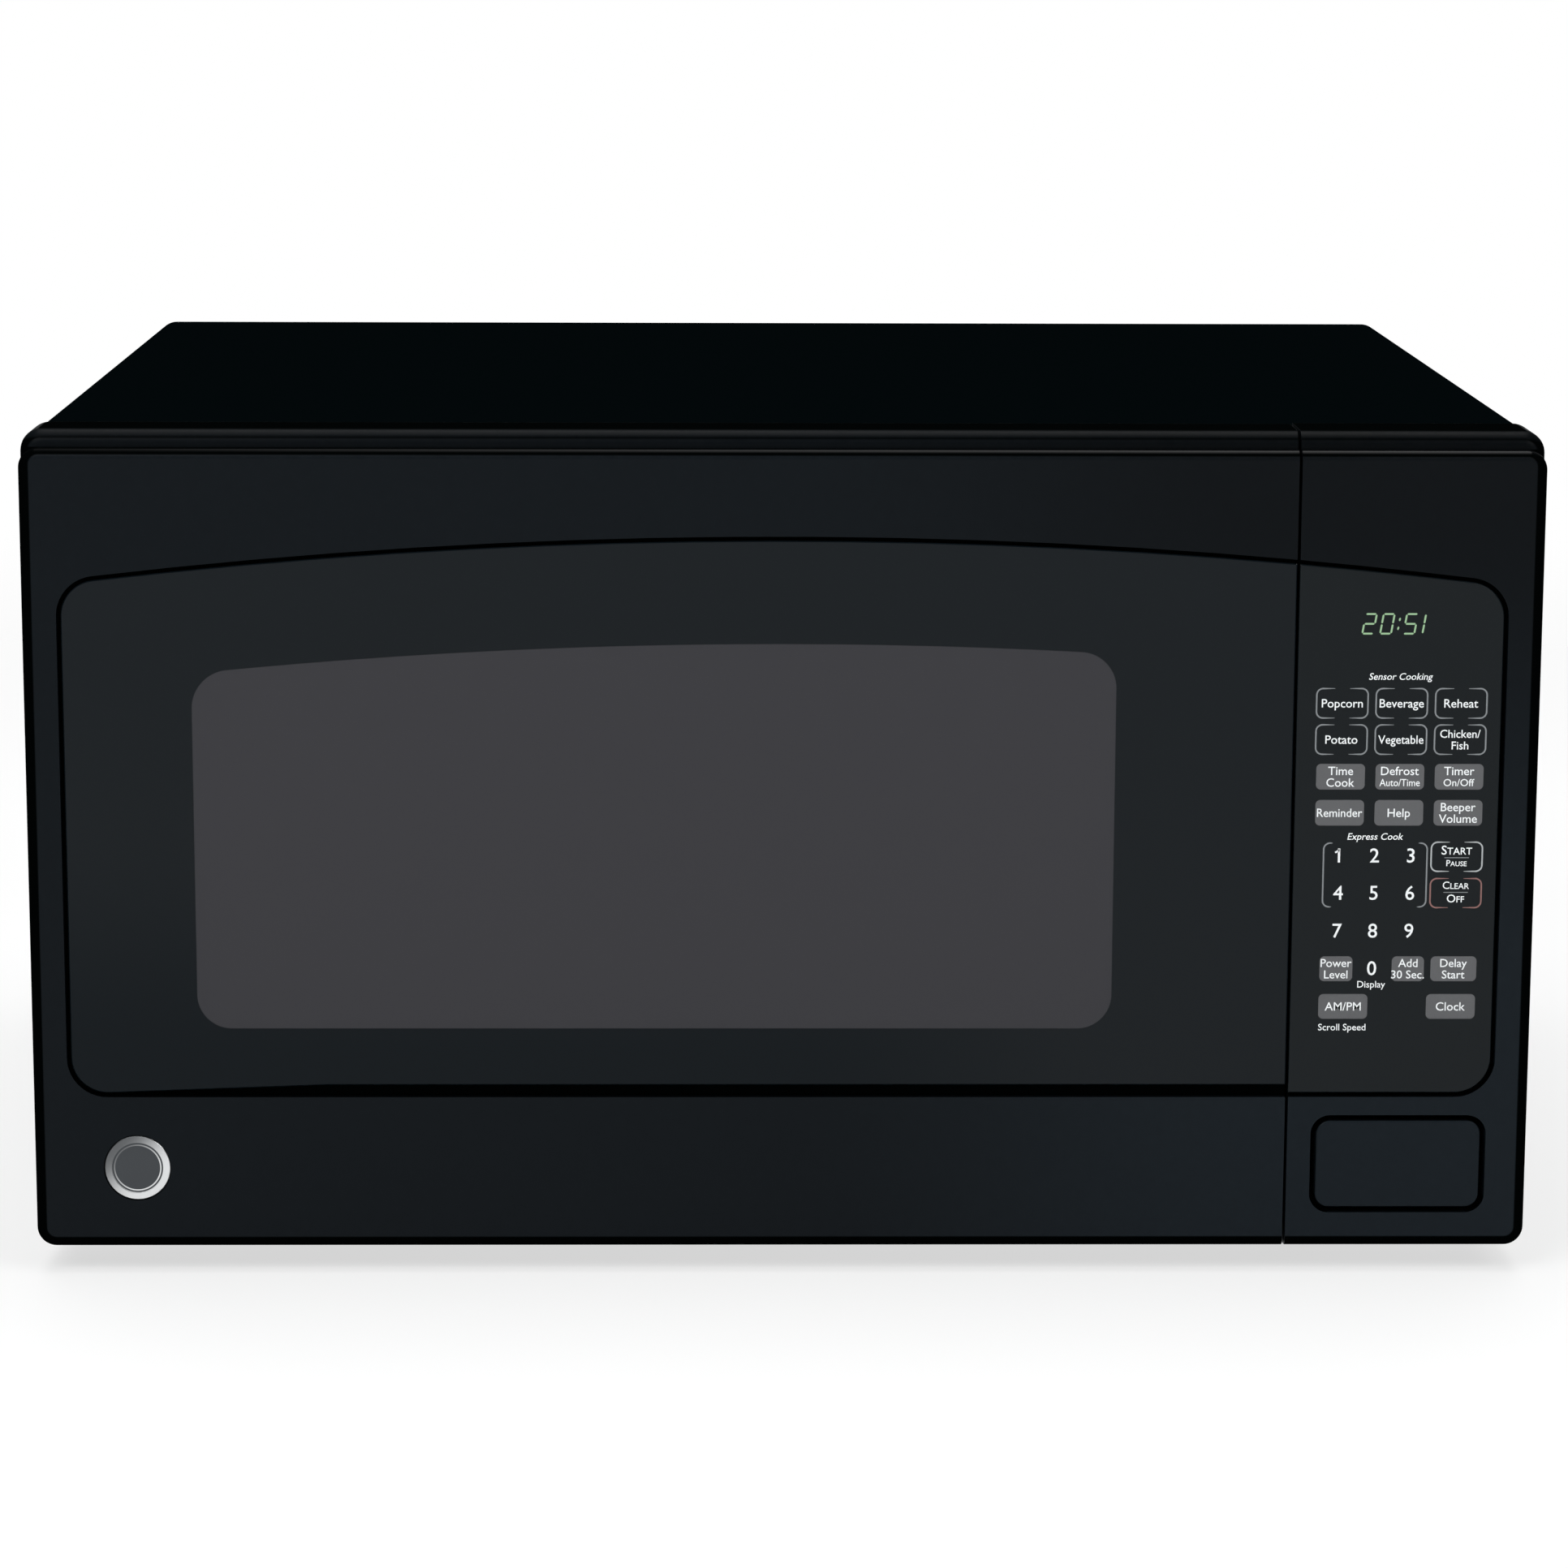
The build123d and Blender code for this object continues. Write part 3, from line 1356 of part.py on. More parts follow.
# Cord gland: flanged plastic bush in the rear panel
with BuildPart() as cord_gland:
    with BuildSketch(front_plane(rear_panel_y)):
        with Locations((gland_x, gland_z)):
            Circle(gland_flange_radius)
    extrude(amount=-gland_flange)
    with BuildSketch(front_plane(rear_panel_y)):
        with Locations((gland_x, gland_z)):
            Circle(gland_radius)
    extrude(amount=sheet + gland_overrun)
    with BuildSketch(front_plane(rear_panel_y + gland_flange)):
        with Locations((gland_x, gland_z)):
            Circle(gland_bore_radius)
    extrude(amount=gland_flange + sheet + gland_overrun, mode=Mode.SUBTRACT)
save(cord_gland, "cord_gland")

# Waveguide: folded steel duct from the magnetron to the feed opening
antenna_y = feed_y + antenna_offset
guide_y = (feed_y - feed_width / 2 - guide_margin, feed_y + feed_width / 2 + guide_margin)
guide_z = (feed_z - feed_height / 2 - guide_margin, feed_z + feed_height / 2 + guide_margin)
guide_right = bay_left + guide_depth
with BuildPart() as waveguide:
    add(box_between((bay_left, guide_right), guide_y, guide_z))
    add(
        box_between(
            (bay_left, guide_right - sheet),
            (guide_y[0] + sheet, guide_y[1] - sheet),
            (guide_z[0] + sheet, guide_z[1] - sheet),
        ),
        mode=Mode.SUBTRACT,
    )
    with BuildSketch(side_plane(guide_right - sheet)):
        with Locations((antenna_y, feed_z)):
            Circle(antenna_radius + fit_clearance)
    extrude(amount=sheet, mode=Mode.SUBTRACT)
save(waveguide, "waveguide")

# Waveguide cover: thin mica sheet on the oven side of the feed opening
with BuildPart() as waveguide_cover:
    with BuildSketch(side_plane(cavity_right - mica_thickness)):
        with Locations((feed_y, feed_z)):
            RectangleRounded(feed_width + 2 * mica_lap, feed_height + 2 * mica_lap, mica_lap)
    extrude(amount=mica_thickness)
save(waveguide_cover, "waveguide_cover")

# Magnetron: mounting plate, antenna, finned anode in its steel yoke and the filter box
yoke_left = guide_right + sheet
yoke_right = yoke_left + yoke_depth
with BuildPart() as magnetron:
    with BuildSketch(side_plane(guide_right)):
        with Locations((antenna_y, feed_z)):
            Rectangle(yoke_width, yoke_height)
    extrude(amount=yoke_depth + sheet)
    with BuildSketch(side_plane(yoke_left)):
        with Locations((antenna_y, feed_z)):
            Rectangle(yoke_width, yoke_height - 2 * sheet)
    extrude(amount=yoke_depth - sheet, mode=Mode.SUBTRACT)
    with BuildSketch(side_plane(yoke_left)):
        with Locations((antenna_y, feed_z)):
            Circle(anode_radius)
    extrude(amount=yoke_depth - sheet)
    fin_pitch = yoke_depth / (fin_count + 1)
    for number in range(fin_count):
        with BuildSketch(side_plane(yoke_left + (number + 1) * fin_pitch - fin_thickness)):
            with Locations((antenna_y, feed_z)):
                Rectangle(yoke_width - 2 * sheet, yoke_height - 2 * sheet)
        extrude(amount=fin_thickness)
    with BuildSketch(side_plane(yoke_right)):
        with Locations((antenna_y, feed_z)):
            Rectangle(filter_width, filter_height)
    extrude(amount=filter_depth)
    with BuildSketch(side_plane(guide_right)):
        with Locations((antenna_y, feed_z)):
            Circle(antenna_radius)
    extrude(amount=-antenna_length)
    fillet(magnetron.edges().filter_by(GeomType.CIRCLE).sort_by(Axis.X)[0], antenna_radius / 2)
save(magnetron, "magnetron")

# Thermal cut-outs: one on the magnetron's yoke, one on the cavity roof
cutout_places = (
    ((yoke_left + yoke_right) / 2, antenna_y, feed_z + yoke_height / 2),
    (cavity_right - roof_cutout_inset, cavity_mid_y - roof_cutout_forward, cavity_ceiling + sheet),
)
with BuildPart() as thermal_cutouts:
    for x, y, z in cutout_places:
        with BuildSketch(Plane.XY.offset(z)):
            with Locations((x, y)):
                SlotOverall(cutout_flange_length, cutout_flange_width)
        extrude(amount=sheet)
        with BuildSketch(Plane.XY.offset(z)):
            with Locations((x, y)):
                Circle(cutout_radius)
        extrude(amount=cutout_height)
save(thermal_cutouts, "thermal_cutouts")

# Transformer: laminated core with two windows, on its foot plate, and the coil round the middle limb
yoke_limb = (core_height - window_height) / 2
core_y = foot_front_y + core_setback
core_z = base_top + 2 * sheet
side_limb = limb_width / 2
coil_window = (core_width - limb_width - 2 * side_limb) / 2
with BuildPart() as transformer_core:
    with BuildSketch(front_plane(core_y + core_depth / 2)):
        core_x = (bay_mid - core_width / 2, bay_mid + core_width / 2)
        add(rectangle_between(core_x, (core_z, core_z + core_height)))
        for side in (-1, 1):
            with Locations((bay_mid + side * (limb_width + coil_window) / 2, core_z + core_height / 2)):
                Rectangle(coil_window, window_height, mode=Mode.SUBTRACT)
    extrude(amount=core_depth)
    with BuildSketch(Plane.XY.offset(base_top)):
        with Locations((bay_mid, core_y)):
            RectangleRounded(core_width + 2 * core_foot, core_depth, core_foot / 2)
    extrude(amount=2 * sheet)
save(transformer_core, "transformer_core")

with BuildPart() as transformer_windings:
    with BuildSketch(Plane.XY.offset(core_z + yoke_limb + coil_gap)):
        with Locations((bay_mid, core_y)):
            reach = 2 * (coil_window - coil_gap)
            RectangleRounded(limb_width + reach, core_depth + reach, coil_window / 2)
            inner = 2 * coil_gap
            Rectangle(limb_width + inner, core_depth + inner, mode=Mode.SUBTRACT)
    extrude(amount=window_height - 2 * coil_gap)
save(transformer_windings, "transformer_windings")

# High-voltage capacitor: oval can on the base, with two terminals and its strap
can_x = bay_left + can_inset
can_y = core_y + core_depth + can_setback
with BuildPart() as hv_capacitor:
    with BuildSketch(front_plane(can_y)):
        with Locations((can_x, base_top + strap_gap + can_height / 2)):
            SlotOverall(can_width, can_height)
    extrude(amount=-can_length)
    with BuildSketch(front_plane(can_y)):
        with Locations((can_x, base_top + strap_gap + can_height / 2)):
            with GridLocations(terminal_pitch, 1, 2, 1):
                Rectangle(terminal_width, terminal_thickness)
    extrude(amount=terminal_height)
save(hv_capacitor, "hv_capacitor")

with BuildPart() as capacitor_clamp:
    with BuildSketch(front_plane(can_y + can_length / 2 - strap_width / 2)):
        with Locations((can_x, base_top + strap_gap + can_height / 2)):
            wrap = 2 * (strap_gap + strap_thickness)
            SlotOverall(can_width + wrap, can_height + wrap)
            SlotOverall(can_width + 2 * strap_gap, can_height + 2 * strap_gap, mode=Mode.SUBTRACT)
        with Locations((can_x, base_top)):
            tab = can_width + 2 * strap_width
            Rectangle(tab, can_height / 2, align=(Align.CENTER, Align.MAX), mode=Mode.SUBTRACT)
            for side in (-1, 1):
                with Locations((side * (can_width - can_height / 2) / 2, 0)):
                    Rectangle(can_height, strap_thickness, align=(Align.CENTER, Align.MIN))
        with Locations((can_x, base_top + strap_gap + can_height / 2)):
            SlotOverall(can_width + 2 * strap_gap, can_height + 2 * strap_gap, mode=Mode.SUBTRACT)
    extrude(amount=-strap_width)
save(capacitor_clamp, "capacitor_clamp")

# High-voltage diode: moulded body with an earth tag on the base
diode_x = can_x + can_width / 2 + diode_gap
with BuildPart() as hv_diode:
    with BuildSketch(front_plane(can_y)):
        with Locations((diode_x, base_top + sheet + diode_radius)):
            Circle(diode_radius)
    extrude(amount=-diode_length)
    tag_y = (can_y + diode_length - tag_lap, can_y + diode_length + tag_reach)
    tag_x = (diode_x - diode_radius, diode_x + diode_radius)
    add(box_between(tag_x, tag_y, (base_top, base_top + 2 * sheet)))
save(hv_diode, "hv_diode")

# Fan: shroud plate with its collar and motor bridge, shaded-pole motor, shaft and five-bladed rotor
shroud_y = rear_inner_y - shroud_forward
shroud_top = fan_z + fan_radius + shroud_margin
bridge_y = shroud_y + bridge_setback
fan_mid_y = shroud_y
collar_radius = fan_radius + fan_collar_gap
with BuildPart() as fan_shroud:
    with BuildSketch(front_plane(shroud_y)):
        add(rectangle_between((bay_left, bay_right - edge_gap - sheet), (base_top, shroud_top)))
        with Locations((fan_x, fan_z)):
            Circle(collar_radius, mode=Mode.SUBTRACT)
    extrude(amount=-shroud_thickness)
    with BuildSketch(front_plane(shroud_y)):
        with Locations((fan_x, fan_z)):
            Circle(collar_radius + shroud_thickness)
            Circle(collar_radius, mode=Mode.SUBTRACT)
    extrude(amount=collar_depth)
    with BuildSketch(Plane.XY.offset(fan_z - bridge_height / 2)):
        half = collar_radius + 2 * shroud_thickness
        leg_y = shroud_y + shroud_thickness
        add(rectangle_between((fan_x - half, fan_x + half), (leg_y, bridge_y + shroud_thickness)))
        inside = (fan_x - half + shroud_thickness, fan_x + half - shroud_thickness)
        add(rectangle_between(inside, (leg_y, bridge_y)), mode=Mode.SUBTRACT)
    extrude(amount=bridge_height)
    with BuildSketch(front_plane(bridge_y)):
        with Locations((fan_x, fan_z)):
            Circle(fan_shaft_radius + fit_clearance)
    extrude(amount=-shroud_thickness, mode=Mode.SUBTRACT)
save(fan_shroud, "fan_shroud")

motor_y = bridge_y + shroud_thickness
with BuildPart() as fan_motor:
    with BuildSketch(front_plane(motor_y)):
        with Locations((fan_x, fan_z)):
            Rectangle(motor_core_width, motor_core_height)
        with Locations((fan_x, fan_z - motor_core_height / 2 + motor_notch_rise)):
            Rectangle(motor_core_width / 2, motor_notch_height, mode=Mode.SUBTRACT)
    extrude(amount=-motor_core_depth)
    with BuildSketch(front_plane(motor_y + motor_core_depth)):
        with Locations((fan_x, fan_z)):
            Circle(rotor_radius)
    extrude(amount=-rotor_overrun)
    with BuildSketch(front_plane(motor_y + coil_setback)):
        with Locations((fan_x, fan_z + motor_core_height / 2)):
            RectangleRounded(motor_core_width / 2, motor_coil_width, coil_corner_radius)
    extrude(amount=-(motor_core_depth + coil_overrun))
    with BuildSketch(front_plane(motor_y)):
        with Locations((fan_x, fan_z)):
            Circle(fan_shaft_radius + running_clearance)
    extrude(amount=-motor_core_depth, mode=Mode.SUBTRACT)
save(fan_motor, "fan_motor")

fan_front_y = fan_mid_y - fan_hub_depth / 2
with BuildPart() as fan_shaft:
    with BuildSketch(front_plane(fan_front_y + hub_cap)):
        with Locations((fan_x, fan_z)):
            Circle(fan_shaft_radius)
    extrude(amount=-(motor_y + motor_core_depth - shaft_end_gap - fan_front_y - hub_cap))
save(fan_shaft, "fan_shaft")

with BuildPart() as fan_blade:
    with BuildSketch(front_plane(fan_front_y)):
        with Locations((fan_x, fan_z)):
            Circle(fan_hub_radius)
    extrude(amount=-fan_hub_depth)
    for number in range(fan_blades):
        spoke = Vector(1, 0, 0).rotate(Axis.Y, number * 360 / fan_blades)
        across = spoke.cross(Vector(0, 1, 0))
        hub_centre = Vector(fan_x, fan_mid_y, fan_z)
        sections = (
            (fan_hub_radius - blade_root_depth, blade_root_angle, blade_root_width),
            (fan_radius, blade_tip_angle, blade_tip_width),
        )
        for radius, angle, width in sections:
            with BuildSketch(Plane(origin=hub_centre + spoke * radius, x_dir=across, z_dir=spoke)):
                Rectangle(width, blade_thickness, rotation=angle)
        loft()
    with BuildSketch(front_plane(fan_front_y + hub_cap)):
        with Locations((fan_x, fan_z)):
            Circle(fan_shaft_radius + running_clearance)
    extrude(amount=-fan_hub_depth, mode=Mode.SUBTRACT)
save(fan_blade, "fan_blade")

# Air duct: plastic hood that leads the magnetron's cooling air to the cavity wall
duct_right = yoke_right
duct_back = antenna_y - yoke_width / 2
duct_z = (feed_z - yoke_height / 2 + duct_inset, feed_z + yoke_height / 2 - duct_inset)
with BuildPart() as air_duct:
    add(box_between((bay_left, duct_right), (duct_back - duct_depth, duct_back), duct_z))
    add(
        box_between(
            (bay_left, duct_right - duct_wall),
            (duct_back - duct_depth + duct_wall, duct_back),
            (duct_z[0] + duct_wall, duct_z[1] - duct_wall),
        ),
        mode=Mode.SUBTRACT,
    )
    guide_cut_y = (guide_y[0] - fit_clearance, duct_back)
    guide_cut_z = (guide_z[0] - fit_clearance, guide_z[1] + fit_clearance)
    add(box_between((bay_left, guide_right + fit_clearance), guide_cut_y, guide_cut_z), mode=Mode.SUBTRACT)
save(air_duct, "air_duct")

# Oven lamp: glass bulb in a plastic holder on the cavity's right wall
lamp_y = cavity_back - lamp_forward
lamp_z = cavity_ceiling - lamp_drop
lamp_x = bay_left + holder_size / 2
with BuildPart() as lamp_holder:
    with BuildSketch(front_plane(lamp_y)):
        with Locations((lamp_x, lamp_z)):
            RectangleRounded(holder_size, holder_size, holder_corner_radius)
    extrude(amount=-holder_depth)
save(lamp_holder, "lamp_holder")

with BuildPart() as cavity_lamp:
    with BuildSketch(front_plane(lamp_y)):
        with Locations((lamp_x, lamp_z)):
            Circle(lamp_radius)
    extrude(amount=lamp_length)
    chamfer(cavity_lamp.faces().sort_by(Axis.Y)[0].edges(), lamp_tip)
save(cavity_lamp, "cavity_lamp")

# Line filter board: mains board on four posts inside the rear panel, with coil, capacitor and fuse
filter_z = case_top - filter_top_gap - filter_board_height / 2
filter_y = rear_inner_y - filter_post
with BuildPart() as line_filter_board:
    with BuildSketch(front_plane(filter_y)):
        with Locations((bay_mid, filter_z)):
            Rectangle(filter_board_width, filter_board_height)
    extrude(amount=board_thickness)
    with BuildSketch(front_plane(filter_y)):
        with Locations((bay_mid, filter_z)):
            pitch_x = filter_board_width - 2 * filter_post_inset
            pitch_z = filter_board_height - 2 * filter_post_inset
            with GridLocations(pitch_x, pitch_z, 2, 2):
                Circle(filter_post_radius)
    extrude(amount=-filter_post)
    for x, z, width, height, rise in filter_parts:
        with BuildSketch(front_plane(filter_y - board_thickness)):
            with Locations((bay_mid + x, filter_z + z)):
                Rectangle(width, height)
        extrude(amount=rise)
save(line_filter_board, "line_filter_board")
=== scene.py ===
# %% [markdown]
# # A countertop microwave oven
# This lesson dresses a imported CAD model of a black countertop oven: a satin front with an arched
# panel, a smoked window, a printed keypad and a painted steel case. The solids come from the CAD
# frame and keep their shapes, apart from one spring that is wound anew. The lesson adds finishes,
# prints and light.

import math

import bpy
import numpy as np
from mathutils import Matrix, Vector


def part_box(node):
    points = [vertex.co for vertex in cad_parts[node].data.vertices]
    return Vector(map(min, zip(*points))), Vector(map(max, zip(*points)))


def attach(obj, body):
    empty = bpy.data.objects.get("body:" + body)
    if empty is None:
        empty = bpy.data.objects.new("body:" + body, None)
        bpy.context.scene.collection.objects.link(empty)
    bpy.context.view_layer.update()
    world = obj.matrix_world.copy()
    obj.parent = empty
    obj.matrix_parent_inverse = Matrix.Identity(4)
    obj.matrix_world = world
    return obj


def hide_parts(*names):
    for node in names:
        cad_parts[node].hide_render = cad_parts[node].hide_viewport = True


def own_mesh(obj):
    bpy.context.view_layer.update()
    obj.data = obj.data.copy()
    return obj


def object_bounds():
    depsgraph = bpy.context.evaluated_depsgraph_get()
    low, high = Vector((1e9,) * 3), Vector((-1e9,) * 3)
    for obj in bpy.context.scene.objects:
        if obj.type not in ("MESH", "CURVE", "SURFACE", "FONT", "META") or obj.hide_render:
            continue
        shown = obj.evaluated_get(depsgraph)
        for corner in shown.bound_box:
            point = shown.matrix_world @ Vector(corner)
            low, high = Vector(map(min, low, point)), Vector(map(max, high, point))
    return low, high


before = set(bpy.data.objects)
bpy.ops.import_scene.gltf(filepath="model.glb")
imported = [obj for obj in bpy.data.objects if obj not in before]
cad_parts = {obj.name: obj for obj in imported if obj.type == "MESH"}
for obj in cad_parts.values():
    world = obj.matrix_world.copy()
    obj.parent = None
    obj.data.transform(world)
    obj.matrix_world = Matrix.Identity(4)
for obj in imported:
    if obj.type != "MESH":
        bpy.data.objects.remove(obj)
cad_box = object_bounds()

# %% [markdown]
# Every size below is in metres, but people who make ovens think in millimetres, so one value
# turns one into the other. Colours are picked as sRGB hex values, and shaders work in linear
# light, so one function converts them.

# %% Units and colours
mm = 0.001


def linear(hex_colour):
    """sRGB to linear: c / 12.92 below 0.04045, otherwise ((c + 0.055) / 1.055) to the power 2.4."""
    c = np.array([int(hex_colour[i : i + 2], 16) for i in (1, 3, 5)]) / 255
    low, high = c / 12.92, ((c + 0.055) / 1.055) ** 2.4
    return (*np.where(c <= 0.04045, low, high).tolist(), 1.0)


print("black plastic in linear light:", np.round(linear("#14181A"), 4))

# %% [markdown]
# New pieces are surfaces: a grid of points, and four-sided faces between neighbours on that grid.
# Two functions are enough for the floor, the prints and a spring.

# %% Helpers for meshes


def grid_faces(rows, columns, closed):
    """Quads between neighbours on a grid; on a closed one the last row also meets the first."""
    counts = np.arange(rows if closed else rows - 1), np.arange(columns - 1)
    row, column = np.meshgrid(*counts, indexing="ij")
    here, after = row * columns + column, (row + 1) % rows * columns + column
    return np.stack([here, here + 1, after + 1, after], -1).reshape(-1, 4)


def new_surface(name, points, faces, material):
    """An object at the origin, from points in metres and faces that are lists of point numbers."""
    mesh = bpy.data.meshes.new(name)
    mesh.from_pydata(np.reshape(points, (-1, 3)).tolist(), [], faces)
    mesh.materials.append(material)
    surface = bpy.data.objects.new(name, mesh)
    bpy.context.collection.objects.link(surface)
    print(name, "has", len(mesh.polygons), "faces")
    return surface


print("faces on a grid of 3 by 2 points:", grid_faces(3, 2, False).tolist())

# %% [markdown]
# Materials are graphs of nodes. One small function adds a node of any kind, sets what is fixed on
# it, and links what comes from other nodes. A second one opens an empty material, and a third hands
# a finished one to the CAD nodes that wear it. Sums in a graph take one Math node for each step, and
# a smooth step is a Map Range node: 0 at its start, 1 at its end, and 3 s squared minus 2 s cubed
# between.

# %% Helpers for materials
smooth = {"interpolation_type": "SMOOTHSTEP"}


def add_node(tree, kind, inputs=(), **settings):
    """Adds one node of any kind. Settings go on the node, then each input is set or linked.

    Inputs go by name, or as a list in the order of the inputs that the node shows. An input is a
    value, an output of another node, or another node, which stands for the first output it shows.
    """
    node = tree.nodes.new("ShaderNode" + kind)
    for name, value in settings.items():
        setattr(node, name, value)
    if isinstance(inputs, dict):
        pairs = [(node.inputs[name], value) for name, value in inputs.items()]
    else:
        pairs = zip([socket for socket in node.inputs if socket.enabled], inputs)
    for socket, value in pairs:
        if isinstance(value, bpy.types.Node):
            value = next(output for output in value.outputs if output.enabled)
        if isinstance(value, bpy.types.NodeSocket):
            tree.links.new(value, socket)
        else:
            socket.default_value = value
    return node


def open_material(name):
    """A new material with an empty graph, and that graph."""
    material = bpy.data.materials.new(name)
    material.use_nodes = True
    material.node_tree.nodes.clear()
    return material, material.node_tree


def wear(material, *nodes):
    """These CAD nodes are made of that material."""
    for name in nodes:
        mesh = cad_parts[name].data
        mesh.materials.clear()
        mesh.materials.append(material)
    print(material.name, "on", ", ".join(nodes))


print("CAD nodes that wait for a material:", len(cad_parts))

# %% [markdown]
# The oven was photographed from straight ahead, a little above it, through a long lens. A long
# lens keeps the front nearly square while the lid still shows. The numbers were fitted to the
# corners of the front and of the lid, with no lens shift, so other views stay centred too.

# %% Camera
camera_place = (-29.2 * mm, -2166.0 * mm, 564.2 * mm)
look_down, turn_right, tilt = 0.1853, 0.0147, 0.0035
sensor_width, focal_length = 36.0, 110.5
camera_data = bpy.data.cameras.new("studio_camera")
camera_data.sensor_width = sensor_width
camera_data.lens = focal_length
camera = bpy.data.objects.new("studio_camera", camera_data)
camera.location = camera_place
camera.rotation_euler = (math.pi / 2 - look_down, -tilt, -turn_right)
bpy.context.collection.objects.link(camera)
bpy.context.scene.camera = camera
bpy.context.scene.view_settings.view_transform = "Standard"
print("camera looks down by", round(math.degrees(look_down), 1), "degrees")

# %% [markdown]
# The studio is a white sweep. A real sweep is one large curved sheet; here a disc of pale floor
# fades out into a white world before its edge shows, so there is no horizon line. Seen by the
# camera, or in a mirror, part of the paper's white is its own, which leaves the oven's shadow
# faint, and no more light falls on the oven. Deep under the oven the shadow stays whole. The disc
# is a grid of rings and spokes.

# %% Floor
floor_radius = 2.4
ring_count, spoke_count, hub_share = 12, 64, 0.02
fade_ends = (0.9, 2.2)
own_white = 0.65
deep_ends = (-46 * mm, -41 * mm)

paper, tree = open_material("white_sweep_paper")
place = add_node(tree, "TexCoord").outputs["Object"]
where = add_node(tree, "SeparateXYZ", [place]).outputs
past_walls = []
for axis, wall in zip("XY", cad_box[1]):
    off_centre = add_node(tree, "Math", [where[axis]], operation="ABSOLUTE")
    past_walls.append(add_node(tree, "Math", [off_centre, wall], operation="SUBTRACT"))
past_oven = add_node(tree, "Math", past_walls, operation="MAXIMUM")
open_floor = add_node(tree, "MapRange", [past_oven, *deep_ends], **smooth)
rays = add_node(tree, "LightPath").outputs
seen = add_node(tree, "Math", [rays["Is Camera Ray"], rays["Is Glossy Ray"]], operation="MAXIMUM")
seen = add_node(tree, "Math", [seen, rays["Is Transmission Ray"]], operation="MAXIMUM")
seen = add_node(tree, "Math", [seen, open_floor], operation="MULTIPLY")
own = add_node(tree, "Math", [seen, own_white], operation="MULTIPLY")
sheet = add_node(tree, "BsdfDiffuse", {"Color": linear("#F4F4F4")})
white = add_node(tree, "Emission", {"Strength": 1.0})
lit = add_node(tree, "MixShader", [own, sheet, white])
reach = add_node(tree, "VectorMath", [place], operation="LENGTH")
faded = add_node(tree, "MapRange", [reach, *fade_ends], **smooth)
mix = add_node(tree, "MixShader", [faded, lit, add_node(tree, "BsdfTransparent")])
add_node(tree, "OutputMaterial", {"Surface": mix})

radii = np.linspace(hub_share, 1, ring_count) * floor_radius
angles = np.arange(spoke_count) * math.tau / spoke_count
radii, angles = np.meshgrid(radii, angles)
floor_points = np.stack([radii * np.cos(angles), radii * np.sin(angles), 0 * radii], -1)
floor_faces = grid_faces(spoke_count, ring_count, True).tolist()
new_surface("floor", floor_points, floor_faces, paper)

# %% [markdown]
# The world is the rest of the studio: white from the floor up to just over the horizon, and a
# dim grey ceiling above, which keeps the black lid black. The camera, and glass that it looks
# through, see plain white paper all the way up. Three large soft lamps stand in for soft boxes: one
# at the front left, a weaker one at the front right, and a wide one overhead. Each has a place, the
# length of its side and its watts. A lamp shines down its own axis, so it is tipped over and then
# turned until that axis meets the oven.

# %% World and lamps
ceiling_ends, ceiling_loss = (-0.01, 0.2), 0.8
world = bpy.data.worlds.new("studio")
world.use_nodes = True
tree = world.node_tree
tree.nodes.clear()
ray = add_node(tree, "TexCoord").outputs["Generated"]
height = add_node(tree, "SeparateXYZ", [ray]).outputs["Z"]
ceiling = add_node(tree, "MapRange", [height, *ceiling_ends], **smooth)
loss = add_node(tree, "Math", [ceiling, ceiling_loss], operation="MULTIPLY")
dim = add_node(tree, "Math", [1.0, loss], operation="SUBTRACT")
rays = add_node(tree, "LightPath").outputs
seen = add_node(tree, "Math", [rays["Is Camera Ray"], rays["Is Transmission Ray"]], operation="MAXIMUM")
strength = add_node(tree, "Math", [dim, seen], operation="MAXIMUM")
sky = add_node(tree, "Background", {"Color": (1, 1, 1, 1), "Strength": strength})
add_node(tree, "OutputWorld", {"Surface": sky})
bpy.context.scene.world = world

oven_middle = np.array([0.0, 0.0, 0.17])
lamps = {
    "soft_box_left": ((-1.1, -1.7, 1.9), 1.3, 26.0),
    "soft_box_right": ((1.4, -1.5, 1.6), 1.1, 16.0),
    "soft_box_above": ((0.0, 0.3, 2.6), 2.2, 62.0),
}
for name, (stand, side, watts) in lamps.items():
    lamp_data = bpy.data.lights.new(name, "AREA")
    lamp_data.shape = "SQUARE"
    lamp_data.size = side
    lamp_data.energy = watts
    lamp = bpy.data.objects.new(name, lamp_data)
    away = np.array(stand) - oven_middle
    flat = math.hypot(away[0], away[1])
    lamp.location = stand
    lamp.rotation_euler = (math.atan2(flat, away[2]), 0.0, math.atan2(away[1], away[0]) + math.pi / 2)
    bpy.context.collection.objects.link(lamp)
print("lamps:", ", ".join(lamps))

# %% [markdown]
# Most surfaces on an oven are one material with a fine unevenness: paint has orange peel, moulded
# plastic has faint flow marks, rolled steel has a grain. One noise can drive all of that at once:
# the colour drifts a little, the gloss varies, and the surface rises and falls. Sharp CAD edges
# never catch the light as real ones do, so the normal is rounded over a small radius first, and
# where that rounding bends it, the edge is polished lighter by use.

# %% A grained finish
noise_detail, noise_span = 3.0, (0.3, 0.7)
bevel_samples = 6
edge_cosines, edge_wear = (0.98, 0.75), 0.6


